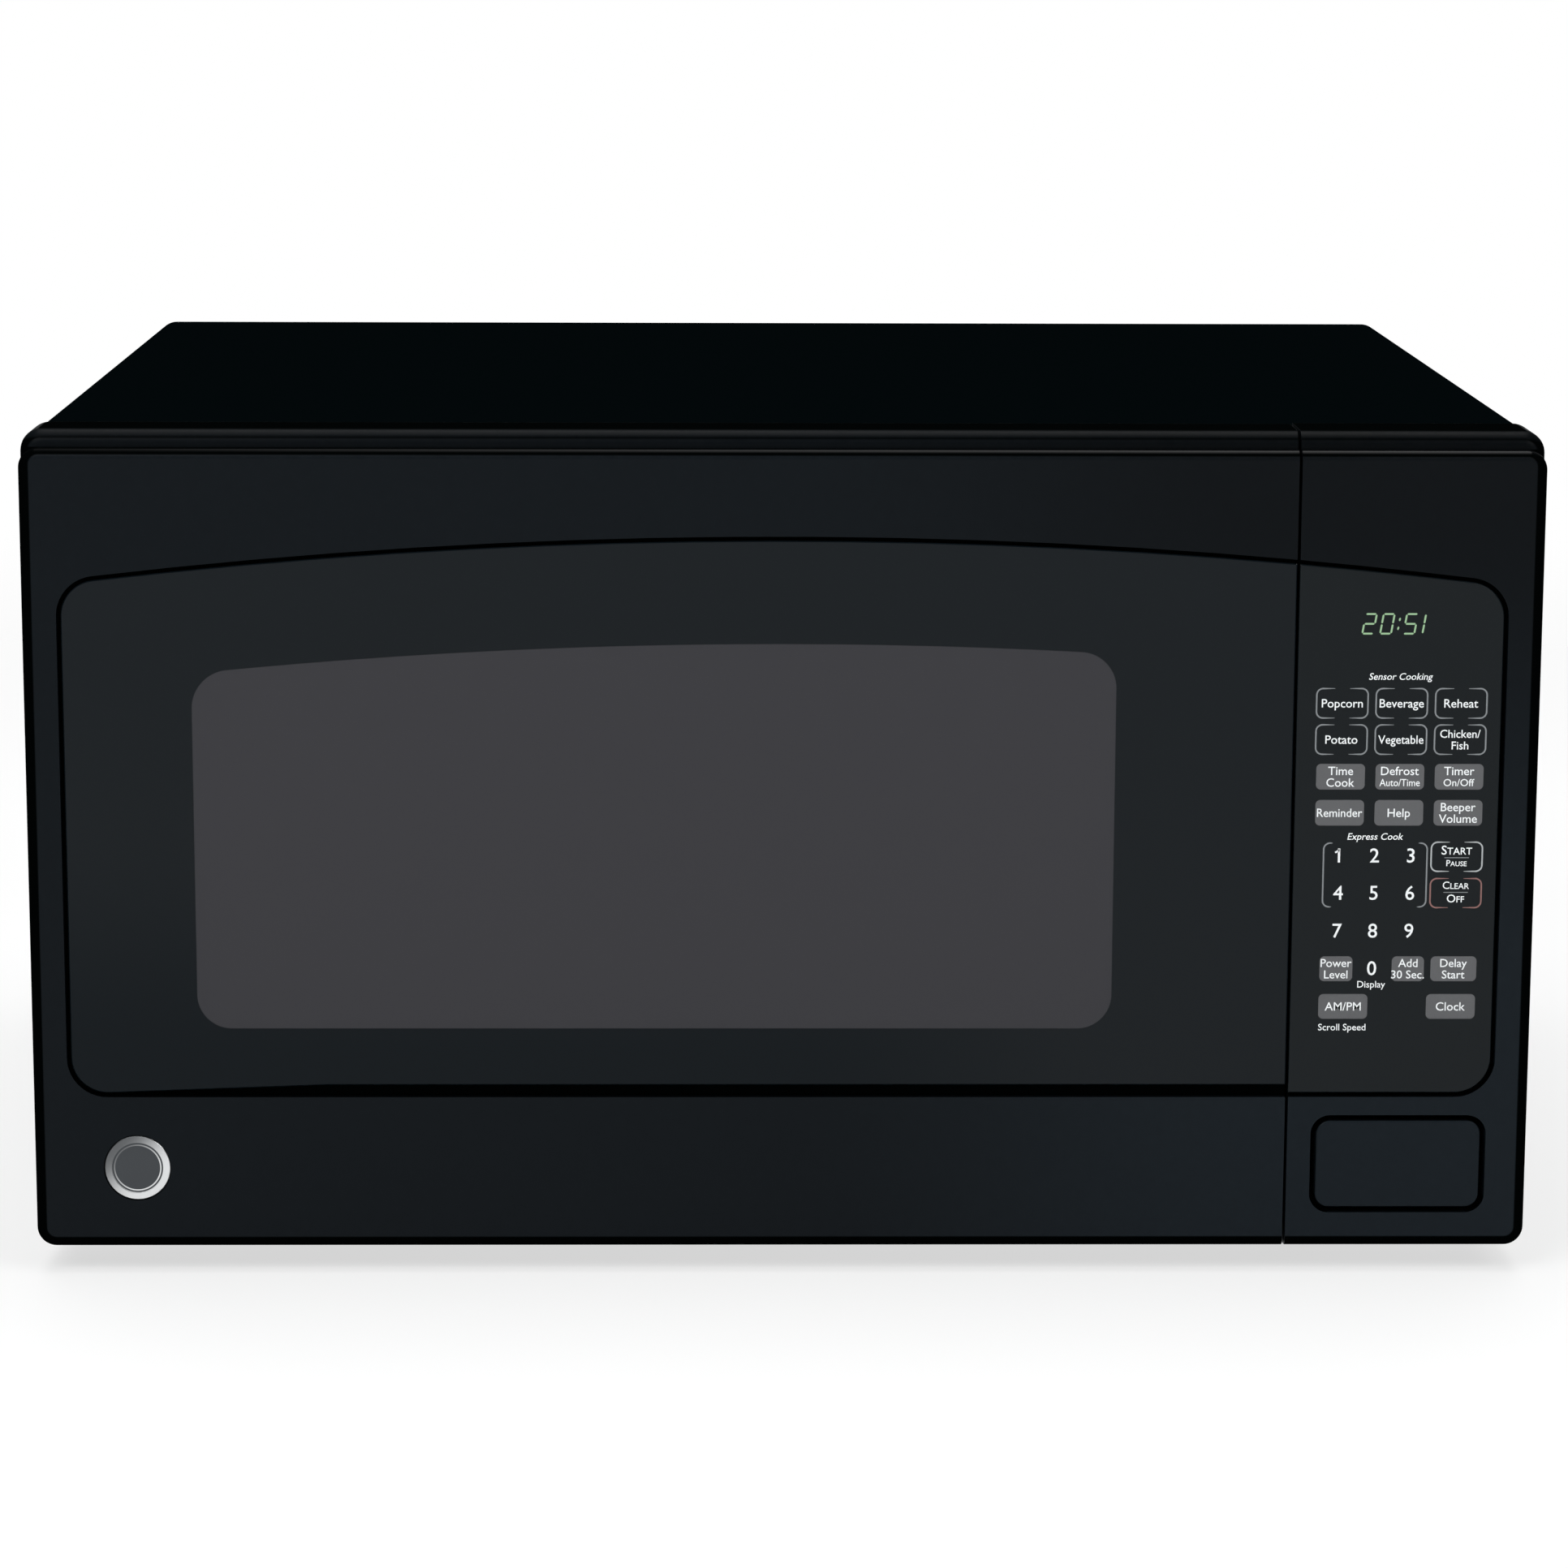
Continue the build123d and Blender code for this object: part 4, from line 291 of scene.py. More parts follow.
def grained_finish(name, main, fleck, grain, gloss, relief, edge, polish, shader):
    """Colour, roughness and height follow one noise that repeats about every `grain` mm.

    Colour runs from main to fleck, roughness between the two values of gloss, and height over
    relief mm. Edges are rounded over `edge` mm, and there the colour turns to polish.
    """
    material, tree = open_material(name)
    place = add_node(tree, "TexCoord").outputs["Object"]
    scale = 1 / (grain * mm)
    noise = add_node(tree, "TexNoise", {"Vector": place, "Scale": scale, "Detail": noise_detail})
    drift = add_node(tree, "Mix", [noise, linear(main), linear(fleck)], data_type="RGBA")
    rough = add_node(tree, "MapRange", [noise, *noise_span, *gloss])
    rounded = add_node(tree, "Bevel", {"Radius": edge * mm}, samples=bevel_samples)
    facing = add_node(tree, "NewGeometry").outputs["Normal"]
    bend = add_node(tree, "VectorMath", [rounded, facing], operation="DOT_PRODUCT")
    worn = add_node(tree, "MapRange", [bend, *edge_cosines, 0.0, edge_wear])
    colour = add_node(tree, "Mix", [worn, drift, linear(polish)], data_type="RGBA")
    bump = add_node(tree, "Bump", {"Height": noise, "Distance": relief * mm, "Normal": rounded})
    looks = {"Base Color": colour, "Roughness": rough, "Normal": bump, **shader}
    surface = add_node(tree, "BsdfPrincipled", looks)
    add_node(tree, "OutputMaterial", {"Surface": surface})
    return material


print("grained finish: one noise for colour, gloss and height")

# %% [markdown]
# The door frame, the control side and the release button are injection-moulded ABS, coloured
# black all through. The mould gives it three skins. The front and the outer sides are sparked to a
# fine satin, which looks blue-grey in studio light, and so is, more weakly, the brow above the
# face. The crest of the face's rounded rim is polished to a thin line of light; the fading of that
# highlight towards the hinge side is painted, by taking the gloss away there. The rest of the rim
# and the grooves are painted shade, a darker black with no shine, and so is the flat top when it is
# seen at a flat angle. The face ends where its rim begins, which is a rounded rectangle, so the
# distance from such a shape comes first.

# %% Distance from a rounded shape


def outside_of(tree, beside, beyond, corner):
    """Distance outside a rounded shape, from the distances past its sides and past its ends.

    With s and e those distances plus the corner's radius r, it is the length of (s, e) with no part
    below 0, plus the larger of s and e if that is below 0, minus r.
    """
    past = [add_node(tree, "Math", [far, corner], operation="ADD") for far in (beside, beyond)]
    out = [add_node(tree, "Math", [far, 0.0], operation="MAXIMUM") for far in past]
    squares = [add_node(tree, "Math", [far, 2.0], operation="POWER") for far in out]
    square = add_node(tree, "Math", squares, operation="ADD")
    length = add_node(tree, "Math", [square], operation="SQRT")
    larger = add_node(tree, "Math", past, operation="MAXIMUM")
    within = add_node(tree, "Math", [larger, 0.0], operation="MINIMUM")
    reach = add_node(tree, "Math", [length, within], operation="ADD")
    return add_node(tree, "Math", [reach, corner], operation="SUBTRACT")


brow_height, brow_step = 7.0 * mm, (0.02 * mm, 0.06 * mm)
rim_width, top_rim_width = 4.5 * mm, 2.4 * mm
door_low, door_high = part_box("door_shell")
face_top = door_high.z - brow_height
print("the face ends", round(face_top / mm, 1), "mm above the floor")

# %% [markdown]
# Which skin a point has follows from the way its surface faces and from where it is, so the
# material reads both, in the piece's own axes, which swing with the door. A skin starts at one
# cosine of the angle between the surface and an axis, and is whole at a second one.

# %% Where each skin of the ABS lies
abs_edge = 0.25 * mm
groove_depth, groove_shade_share = 1.0 * mm, 0.8
face_corner, face_blur = 4.0 * mm, 0.4 * mm
ahead_cosines, forward_cosines, flank_cosines = (-0.85, -0.95), (-0.4, -0.8), (0.98, 0.998)
crown_starts, crown_ends = (0.45, 0.65), (0.99, 0.96)
crown_share, brow_share = 0.4, 0.6
deck_cosines, crest_cosines, highlight_fade_start = (0.985, 0.998), (0.6, 0.85), 1.5
sheen_ends, even_blend = (0.85, 0.55), 0.5
groove_shade_ends = (door_low.y + groove_depth, door_low.y + groove_shade_share * groove_depth)
brow_ends = [face_top + step for step in brow_step]
highlight_fade_ends = (highlight_fade_start * door_low.x, -door_low.x)

abs_black, tree = open_material("moulded_black_abs")
place = add_node(tree, "TexCoord").outputs["Object"]
where = add_node(tree, "SeparateXYZ", [place]).outputs
rounded = add_node(tree, "Bevel", {"Radius": abs_edge}, samples=bevel_samples)
turn = {"vector_type": "NORMAL", "convert_from": "WORLD", "convert_to": "OBJECT"}
own_way = add_node(tree, "VectorTransform", [rounded], **turn)
way = add_node(tree, "SeparateXYZ", [own_way]).outputs

off_centre = add_node(tree, "Math", [where["X"]], operation="ABSOLUTE")
beside = add_node(tree, "Math", [off_centre, door_low.x + rim_width], operation="ADD")
below = add_node(tree, "Math", [door_low.z + rim_width, where["Z"]], operation="SUBTRACT")
above = add_node(tree, "Math", [where["Z"], face_top - top_rim_width], operation="SUBTRACT")
beyond = add_node(tree, "Math", [below, above], operation="MAXIMUM")
face_out = outside_of(tree, beside, beyond, face_corner)
inside = add_node(tree, "MapRange", [face_out, face_blur, -face_blur], **smooth)
# Painted shade: points deeper than the groove's edge take the dark, shineless copy.
outer = add_node(tree, "MapRange", [where["Y"], *groove_shade_ends], **smooth)
brow = add_node(tree, "MapRange", [where["Z"], *brow_ends], **smooth)
under_brow = add_node(tree, "Math", [1.0, brow], operation="SUBTRACT")

front = add_node(tree, "MapRange", [way["Y"], *forward_cosines], **smooth)
for limit in (outer, inside, under_brow):
    front = add_node(tree, "Math", [front, limit], operation="MULTIPLY")
crown_start = add_node(tree, "MapRange", [way["Z"], *crown_starts], **smooth)
crown_end = add_node(tree, "MapRange", [way["Z"], *crown_ends], **smooth)
crown = add_node(tree, "Math", [crown_start, crown_end], operation="MULTIPLY")
crown = add_node(tree, "Math", [crown, crown_share], operation="MULTIPLY")
ahead = add_node(tree, "MapRange", [way["Y"], *ahead_cosines], **smooth)
ahead = add_node(tree, "Math", [ahead, brow_share], operation="MULTIPLY")
crown = add_node(tree, "Math", [crown, ahead], operation="ADD")
crown = add_node(tree, "Math", [crown, brow], operation="MULTIPLY")
flat_sight = add_node(tree, "LayerWeight", {"Blend": even_blend}).outputs["Facing"]
sheen = add_node(tree, "MapRange", [flat_sight, *sheen_ends], **smooth)
deck = add_node(tree, "MapRange", [way["Z"], *deck_cosines], **smooth)
deck = add_node(tree, "Math", [deck, sheen], operation="MULTIPLY")
sideways = add_node(tree, "Math", [way["X"]], operation="ABSOLUTE")
sparked = add_node(tree, "MapRange", [sideways, *flank_cosines], **smooth)
for skin in (crown, front, deck):
    sparked = add_node(tree, "Math", [sparked, skin], operation="MAXIMUM")
# Painted highlight fall-off: the crest's gloss fades out towards the hinge side.
painted_highlight_fade = add_node(tree, "MapRange", [where["X"], *highlight_fade_ends], **smooth)
crest = add_node(tree, "MapRange", [way["Z"], *crest_cosines], **smooth)
for limit in (under_brow, painted_highlight_fade):
    crest = add_node(tree, "Math", [crest, limit], operation="MULTIPLY")
print("rim of the face:", round(rim_width / mm, 1), "mm wide,", round(top_rim_width / mm, 1), "at the top")

# %% [markdown]
# The three skins are one plastic with other gloss; the two on the rim are also a darker black,
# painted shade. The flow of the melt shows as faint marks a few millimetres across. On the control
# side the black carries painted light and shade: a shade deeper at the top and paler at the foot.

# %% Black moulded ABS
flow_size, flow_relief = 3 * mm, 0.004 * mm
painted_shading_heights, painted_shading_reach = (120 * mm, 320 * mm), 200 * mm
painted_shading_share, painted_shading_fall = 0.8, 1.2

flow = add_node(tree, "TexNoise", {"Vector": place, "Scale": 1 / flow_size, "Detail": noise_detail})
colour = add_node(tree, "Mix", [flow, linear("#0B1014"), linear("#0F1418")], data_type="RGBA")
# Painted light and shade: on the control side the black is made deeper at the top and paler at the foot.
upper = add_node(tree, "MapRange", [where["Z"], *painted_shading_heights], **smooth)
upper = add_node(tree, "Math", [upper, painted_shading_fall], operation="MULTIPLY")
tint = add_node(tree, "Math", [painted_shading_share, upper], operation="SUBTRACT")
control_side = add_node(tree, "MapRange", [where["X"], 0.0, painted_shading_reach], **smooth)
tint = add_node(tree, "Math", [tint, control_side], operation="MULTIPLY")
shade = add_node(tree, "Math", [tint, 1.0], operation="ADD")
colour = add_node(tree, "VectorMath", [colour, shade], operation="SCALE")
gloss = add_node(tree, "MapRange", {"Value": flow, "To Min": 0.28, "To Max": 0.44})
bump = add_node(tree, "Bump", {"Height": flow, "Distance": flow_relief, "Normal": rounded})
moulded = {"Normal": bump, "IOR": 1.53}
skins = {
    "satin": {"Base Color": colour, "Roughness": gloss, "Specular IOR Level": 0.06},
    "polished": {"Base Color": linear("#030405"), "Roughness": 0.16, "Specular IOR Level": 0.05},
    # The dull copy is darker and has no shine: painted shade on the rim and in the grooves.
    "dull": {"Base Color": linear("#020303"), "Roughness": 0.6, "Specular IOR Level": 0.0},
}
for name, looks in skins.items():
    skins[name] = add_node(tree, "BsdfPrincipled", {**looks, **moulded})
rim = add_node(tree, "MixShader", [crest, skins["dull"], skins["polished"]])
mix = add_node(tree, "MixShader", [sparked, rim, skins["satin"]])
add_node(tree, "OutputMaterial", {"Surface": mix})
wear(abs_black, "door_shell", "control_panel_bezel", "release_button")

# %% [markdown]
# The case is one folded sheet of steel, stove-enamelled in black. Up close, such paint has orange
# peel about a millimetre across. Seen at a flat angle a smooth paint would mirror the white sweep,
# but the grain of this one hides the shine, so its sheen fades out as the line of sight gets flat.

# %% Stove enamel on steel
peel_size, peel_relief = 1.2 * mm, 0.012 * mm
fold_edge = 0.6 * mm

case_enamel, tree = open_material("black_stove_enamel")
place = add_node(tree, "TexCoord").outputs["Object"]
peel = add_node(tree, "TexNoise", {"Vector": place, "Scale": 1 / peel_size, "Detail": noise_detail})
rounded = add_node(tree, "Bevel", {"Radius": fold_edge}, samples=bevel_samples)
bump = add_node(tree, "Bump", {"Height": peel, "Distance": peel_relief, "Normal": rounded})
colour = add_node(tree, "Mix", [peel, linear("#020506"), linear("#030607")], data_type="RGBA")
gloss = add_node(tree, "MapRange", {"Value": peel, "To Min": 0.36, "To Max": 0.52})
matt = add_node(tree, "BsdfDiffuse", {"Color": colour, "Normal": bump})
painted = {"Base Color": colour, "Roughness": gloss, "Normal": bump}
satin = add_node(tree, "BsdfPrincipled", {**painted, "IOR": 1.5, "Specular IOR Level": 0.2})
flat_sight = add_node(tree, "LayerWeight", {"Blend": even_blend}).outputs["Facing"]
sheen = add_node(tree, "MapRange", [flat_sight, *sheen_ends], **smooth)
mix = add_node(tree, "MixShader", [sheen, matt, satin])
add_node(tree, "OutputMaterial", {"Surface": mix})
wear(case_enamel, "outer_case")

# %% [markdown]
# The arched front sheet of the door is smoked acrylic, printed black on its back all round a
# clear window. A picture could say where the window is, but a formula stays sharp at any size:
# the distance from a rounded shape with two straight sides, a straight foot and a top that is an
# arc of a large circle. The steel screen behind laps over the window on all sides, so its box gives
# the window's place.

# %% Window of the smoked sheet
screen_lap = 14.0 * mm
window_arc = 2316.3 * mm
window_corner, window_blur = 14.0 * mm, 0.1 * mm
screen_low, screen_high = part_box("door_screen")
window_middle = (screen_low.x + screen_high.x) / 2
window_half = (screen_high.x - screen_low.x) / 2 - screen_lap
window_foot = screen_low.z + screen_lap
arc_centre_z = screen_high.z - screen_lap - window_arc

smoked, tree = open_material("smoked_acrylic")
place = add_node(tree, "TexCoord").outputs["Object"]
where = add_node(tree, "SeparateXYZ", [place]).outputs
across = add_node(tree, "Math", [where["X"], window_middle], operation="SUBTRACT")
off_centre = add_node(tree, "Math", [across], operation="ABSOLUTE")
beside = add_node(tree, "Math", [off_centre, window_half], operation="SUBTRACT")
below = add_node(tree, "Math", [window_foot, where["Z"]], operation="SUBTRACT")
arc_z = add_node(tree, "Math", [where["Z"], arc_centre_z], operation="SUBTRACT")
squares = [add_node(tree, "Math", [leg, 2.0], operation="POWER") for leg in (where["X"], arc_z)]
arc_square = add_node(tree, "Math", squares, operation="ADD")
arc_reach = add_node(tree, "Math", [arc_square], operation="SQRT")
above = add_node(tree, "Math", [arc_reach, window_arc], operation="SUBTRACT")
beyond = add_node(tree, "Math", [below, above], operation="MAXIMUM")
outside = outside_of(tree, beside, beyond, window_corner)
window = add_node(tree, "MapRange", [outside, window_blur, -window_blur])
print("window:", round(2 * window_half / mm, 1), "mm wide")

# %% [markdown]
# Inside the window the sheet is grey, a painted stand-in for the lit screen behind it, and it lets
# part of the light through; outside it is black. All of it has a clear, weak shine and the slight
# swell that no cast sheet is free of. Near the foot, towards the hinge, the printed border loses
# some of that shine, which is painted shade: it turns darker there.

# %% Smoked acrylic front sheet
ripple_size, ripple_height = 18 * mm, 0.01 * mm
clear_share = 0.3
painted_shade_share, painted_shade_heights, painted_shade_reach = 0.4, (190 * mm, 90 * mm), 150 * mm
printed_black = linear("#0D1317")

ripple = add_node(tree, "TexNoise", {"Vector": place, "Scale": 1 / ripple_size, "Detail": 2.0})
polish = add_node(tree, "MapRange", {"Value": ripple, "To Min": 0.06, "To Max": 0.14})
swell = add_node(tree, "Bump", {"Height": ripple, "Distance": ripple_height})
# Painted light: the grey inside the window stands in for the lit screen seen through the sheet.
colour = add_node(tree, "Mix", [window, printed_black, linear("#424246")], data_type="RGBA")
cast = {"Base Color": colour, "Roughness": polish, "Normal": swell}
glossy = add_node(tree, "BsdfPrincipled", {**cast, "IOR": 1.49, "Specular IOR Level": 0.14})
shaded_print = add_node(tree, "BsdfDiffuse", {"Color": printed_black})
# Painted shade: near the foot, towards the hinge, the border swaps its shine for plain black.
shade_near_foot = add_node(tree, "MapRange", [where["Z"], *painted_shade_heights], **smooth)
shade_near_hinge = add_node(tree, "MapRange", [where["X"], painted_shade_reach, 0.0], **smooth)
border = add_node(tree, "Math", [1.0, window], operation="SUBTRACT")
worn = add_node(tree, "Math", [shade_near_foot, shade_near_hinge], operation="MULTIPLY")
for limit in (border, painted_shade_share):
    worn = add_node(tree, "Math", [worn, limit], operation="MULTIPLY")
sheet = add_node(tree, "MixShader", [worn, glossy, shaded_print])
tint = add_node(tree, "BsdfTransparent", {"Color": linear("#8A8C90")})
see_through = add_node(tree, "Math", [window, clear_share], operation="MULTIPLY")
mix = add_node(tree, "MixShader", [see_through, sheet, tint])
add_node(tree, "OutputMaterial", {"Surface": mix})
wear(smoked, "window_panel")

# %% [markdown]
# The control side's end of the arch is a thin polycarbonate film, printed black on its back. It
# is the same black as the door's sheet, with a finer texture that hides finger marks.

# %% Printed overlay film
overlay_film = grained_finish(
    "printed_polycarbonate_film",
    main="#0B1114",
    fleck="#0E1417",
    grain=0.8,
    gloss=(0.16, 0.26),
    relief=0.003,
    edge=0.3,
    polish="#1E2428",
    shader={"IOR": 1.58, "Specular IOR Level": 0.12},
)
wear(overlay_film, "keypad_overlay", "display_module")

# %% [markdown]
# Behind the window sits a steel screen, punched with holes too small for microwaves to pass. It
# could be thousands of real holes; two staggered grids in the material give the same rows of
# holes for nothing. A hole is where the distance to the nearest grid point is under its radius.

# %% Punched steel screen
hole_pitch = 2.0 * mm
hole_radius, hole_blur = 0.62 * mm, 0.06 * mm
dish_depth, grime_size = 0.1 * mm, 6 * mm
row_pitch = hole_pitch * math.sqrt(3)
cell = (hole_pitch, 0.0, row_pitch)
per_cell = (1 / hole_pitch, 0.0, 1 / row_pitch)

punched, tree = open_material("punched_enamelled_steel")
place = add_node(tree, "TexCoord").outputs["Object"]
to_holes = []
for stagger in (0.0, 0.5):
    shift = (stagger, 0.0, stagger)
    grid = add_node(tree, "Mapping", {"Vector": place, "Location": shift, "Scale": per_cell})
    part = add_node(tree, "VectorMath", [grid], operation="FRACTION")
    centred = add_node(tree, "VectorMath", [part, (0.5, 0.0, 0.5)], operation="SUBTRACT")
    real = add_node(tree, "VectorMath", [centred, cell], operation="MULTIPLY")
    to_holes.append(add_node(tree, "VectorMath", [real], operation="LENGTH"))
nearest = add_node(tree, "Math", to_holes, operation="MINIMUM")
metal = add_node(tree, "MapRange", [nearest, hole_radius - hole_blur, hole_radius + hole_blur])
grime = add_node(tree, "TexNoise", {"Vector": place, "Scale": 1 / grime_size})
gloss = add_node(tree, "MapRange", {"Value": grime, "To Min": 0.35, "To Max": 0.6})
dished = add_node(tree, "Bump", {"Height": metal, "Distance": dish_depth})
painted = {"Base Color": linear("#55585A"), "Roughness": gloss, "Normal": dished}
steel = add_node(tree, "BsdfPrincipled", painted)
mix = add_node(tree, "MixShader", [metal, add_node(tree, "BsdfTransparent"), steel])
add_node(tree, "OutputMaterial", {"Surface": mix})
wear(punched, "door_screen")

# %% [markdown]
# Three pieces let light through: the splash film on the oven side of the door, the glass tray
# and the lamp's bulb. Thick glass bends light and needs a full transmission shader. A thin film
# hardly bends it, so it is see-through with a gloss on top that grows towards the edge of sight.

# %% Clear film and glass
haze_size, chill_size = 25 * mm, 30 * mm
chill_height = 0.2 * mm

film, tree = open_material("clear_polyester_film")
place = add_node(tree, "TexCoord").outputs["Object"]
haze = add_node(tree, "TexNoise", {"Vector": place, "Scale": 1 / haze_size})
smear = add_node(tree, "MapRange", {"Value": haze, "To Min": 0.05, "To Max": 0.09})
gleam = add_node(tree, "BsdfGlossy", {"Roughness": smear, "Color": linear("#A8AAAA")})
pass_on = add_node(tree, "BsdfTransparent", {"Color": linear("#E6E8E8")})
edge_on = add_node(tree, "Fresnel", {"IOR": 1.4})
mix = add_node(tree, "MixShader", [edge_on, pass_on, gleam])
add_node(tree, "OutputMaterial", {"Surface": mix})
wear(film, "inner_window_film")

glass, tree = open_material("pressed_soda_glass")
place = add_node(tree, "TexCoord").outputs["Object"]
chill = add_node(tree, "TexNoise", {"Vector": place, "Scale": 1 / chill_size})
frost = add_node(tree, "MapRange", {"Value": chill, "To Min": 0.01, "To Max": 0.06})
wave = add_node(tree, "Bump", {"Height": chill, "Distance": chill_height})
pressed = {"Base Color": linear("#EDF5F2"), "Roughness": frost, "Normal": wave}
block = add_node(tree, "BsdfPrincipled", {**pressed, "IOR": 1.52, "Transmission Weight": 1.0})
add_node(tree, "OutputMaterial", {"Surface": block})
wear(glass, "glass_tray", "cavity_lamp")

# %% [markdown]
# The badge is a bare turned disc of aluminium: a bright bevelled rim, a fine bright ring inside it,
# and a darker face. A lathe leaves grooves, so gloss and height follow the distance from the disc's
# centre. The grooves are drawn coarser than real ones, so that they show. The rim and the ring carry
# a painted highlight on the side that leans to the light and painted shade on the other.

# %% Turned aluminium badge
badge_low, badge_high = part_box("badge")
badge_centre = (badge_low + badge_high) / 2
badge_radius = (badge_high.x - badge_low.x) / 2
face_share, ring_share, rim_shading_shares = 0.77, 0.7, (-1.3, 0.9)
face_radius, disc_blur = face_share * badge_radius, 0.1 * mm
ring_radius, ring_half, ring_core = ring_share * badge_radius, 0.35 * mm, 0.2 * mm
rim_shading_ends = [share * badge_radius for share in rim_shading_shares]
groove_pitch, groove_relief = 0.35 * mm, 0.004 * mm
badge_axis = (badge_centre.x, 0.0, badge_centre.z)

turned, tree = open_material("turned_aluminium")
place = add_node(tree, "TexCoord").outputs["Object"]
shift = add_node(tree, "VectorMath", [place, badge_axis], operation="SUBTRACT")
in_plane = add_node(tree, "VectorMath", [shift, (1.0, 0.0, 1.0)], operation="MULTIPLY")
radius = add_node(tree, "VectorMath", [in_plane], operation="LENGTH")
rim = add_node(tree, "MapRange", [radius, face_radius - disc_blur, face_radius + disc_blur], **smooth)
into_ring = (ring_radius - ring_half, ring_radius - ring_core)
out_of_ring = (ring_radius + ring_half, ring_radius + ring_core)
ring = [add_node(tree, "MapRange", [radius, *ends], **smooth) for ends in (into_ring, out_of_ring)]
ring = add_node(tree, "Math", ring, operation="MULTIPLY")
bright = add_node(tree, "Math", [rim, ring], operation="MAXIMUM")
offset = add_node(tree, "SeparateXYZ", [in_plane]).outputs
# Painted highlight and shade: the rim's colour runs from dark to bright across the badge.
slope = add_node(tree, "Math", [offset["X"], offset["Z"]], operation="SUBTRACT")
lean = add_node(tree, "MapRange", [slope, *rim_shading_ends], **smooth)
shine = add_node(tree, "Mix", [lean, linear("#626466"), linear("#DEE0E1")], data_type="RGBA")
colour = add_node(tree, "Mix", [bright, linear("#4A4D50"), shine], data_type="RGBA")
gloss = add_node(tree, "MapRange", {"Value": rim, "To Min": 0.42, "To Max": 0.3})
turns = add_node(tree, "Math", [radius, math.tau / groove_pitch], operation="MULTIPLY")
groove = add_node(tree, "Math", [turns], operation="SINE")
bump = add_node(tree, "Bump", {"Height": groove, "Distance": groove_relief})
metal = {"Base Color": colour, "Roughness": gloss, "Normal": bump}
disc = add_node(tree, "BsdfPrincipled", {**metal, "Metallic": 1.0, "Anisotropic": 0.5})
add_node(tree, "OutputMaterial", {"Surface": disc})
wear(turned, "badge")
print("badge radius:", round(badge_radius / mm, 2), "mm")

# %% [markdown]
# The rest of the oven is inside or behind. Each piece still has the finish that its maker gives
# it, all from the same grained finish with other numbers: rolled and zinc-plated steel, enamel,
# nylon, mica, circuit board and wound copper wire. A row holds the main colour and the fleck, the
# grain in millimetres, the gloss, the relief and the edge in millimetres, the polish and the kind.

# %% Finishes of the works
plain = {"IOR": 1.5}
bare_metal = {"Metallic": 1.0}
works = {
    "zinc_plated_steel": ("#A6AAAC", "#969B9E", 9.0, (0.32, 0.5), 0.01, 0.3, "#C8CBCC", bare_metal),
    "dark_grey_enamel": ("#1E2022", "#252729", 1.2, (0.4, 0.55), 0.01, 0.5, "#3A3D3F", plain),
    "oven_enamel": ("#B4B6B3", "#C2C4C1", 0.9, (0.28, 0.4), 0.006, 0.5, "#D2D4D1", plain),
    "moulded_choke_rim": ("#0D0F10", "#131516", 1.0, (0.4, 0.55), 0.008, 0.4, "#232628", plain),
    "natural_nylon": ("#E2DFD4", "#D8D4C8", 1.5, (0.35, 0.5), 0.005, 0.3, "#EFEDE6", plain),
    "black_rubbery_pvc": ("#101112", "#17191A", 0.7, (0.55, 0.75), 0.02, 0.3, "#26282A", plain),
    "muscovite_mica": ("#BBAF98", "#A2957C", 5.0, (0.35, 0.6), 0.01, 0.2, "#CCC2AE", plain),
    "green_circuit_board": ("#2C5A38", "#244C2F", 0.6, (0.4, 0.55), 0.004, 0.2, "#4C7C58", plain),
    "switch_phenolic": ("#1B1C1E", "#232527", 0.8, (0.4, 0.5), 0.004, 0.2, "#34373A", plain),
    "varnished_laminations": ("#3C3A38", "#4B4844", 0.5, (0.4, 0.6), 0.02, 0.2, "#6A665F", bare_metal),
    "enamelled_copper_wire": ("#A4552B", "#8C4320", 0.7, (0.25, 0.4), 0.05, 0.2, "#C87A4C", bare_metal),
    "drawn_aluminium_can": ("#C3C6C8", "#B0B4B6", 4.0, (0.25, 0.42), 0.006, 0.3, "#DADCDD", bare_metal),
    "oiled_spring_steel": ("#6E7274", "#595D5F", 2.0, (0.25, 0.4), 0.004, 0.2, "#8E9294", bare_metal),
}
worn_by = {
    "zinc_plated_steel": (
        "rear_panel base_plate hinge_lower hinge_upper hinge_screws case_screws waveguide"
        " magnetron capacitor_clamp fan_shroud fan_shaft turntable_motor lever_pin"
    ),
    "dark_grey_enamel": "door_inner_frame cavity_front_plate",
    "oven_enamel": "oven_cavity",
    "moulded_choke_rim": "choke_cover",
    "natural_nylon": (
        "roller_ring roller_1 roller_2 roller_3 turntable_coupler turntable_shaft hinge_bushes"
        " latch_hook_plate release_lever latch_board fan_blade air_duct lamp_holder"
    ),
    "black_rubbery_pvc": "feet cord_gland",
    "muscovite_mica": "waveguide_cover",
    "green_circuit_board": "control_board line_filter_board",
    "switch_phenolic": "interlock_switches thermal_cutouts hv_diode",
    "varnished_laminations": "transformer_core fan_motor",
    "enamelled_copper_wire": "transformer_windings",
    "drawn_aluminium_can": "hv_capacitor",
    "oiled_spring_steel": "latch_spring",
}
finishes = {}
for name, (main, fleck, grain, gloss, relief, edge, polish, shader) in works.items():
    finishes[name] = grained_finish(name, main, fleck, grain, gloss, relief, edge, polish, shader)
    wear(finishes[name], *worn_by[name].split())

# %% [markdown]
# The oven's side walls are punched with small holes, for the lamp's light on one side and for the
# air on the other. Like the holes of the screen they are drawn by distance, but as dark dots in the
# paint, a painted shade for the dark behind each hole: a square grid of dots, kept to one patch in
# front of the lamp, and to faces that look sideways.

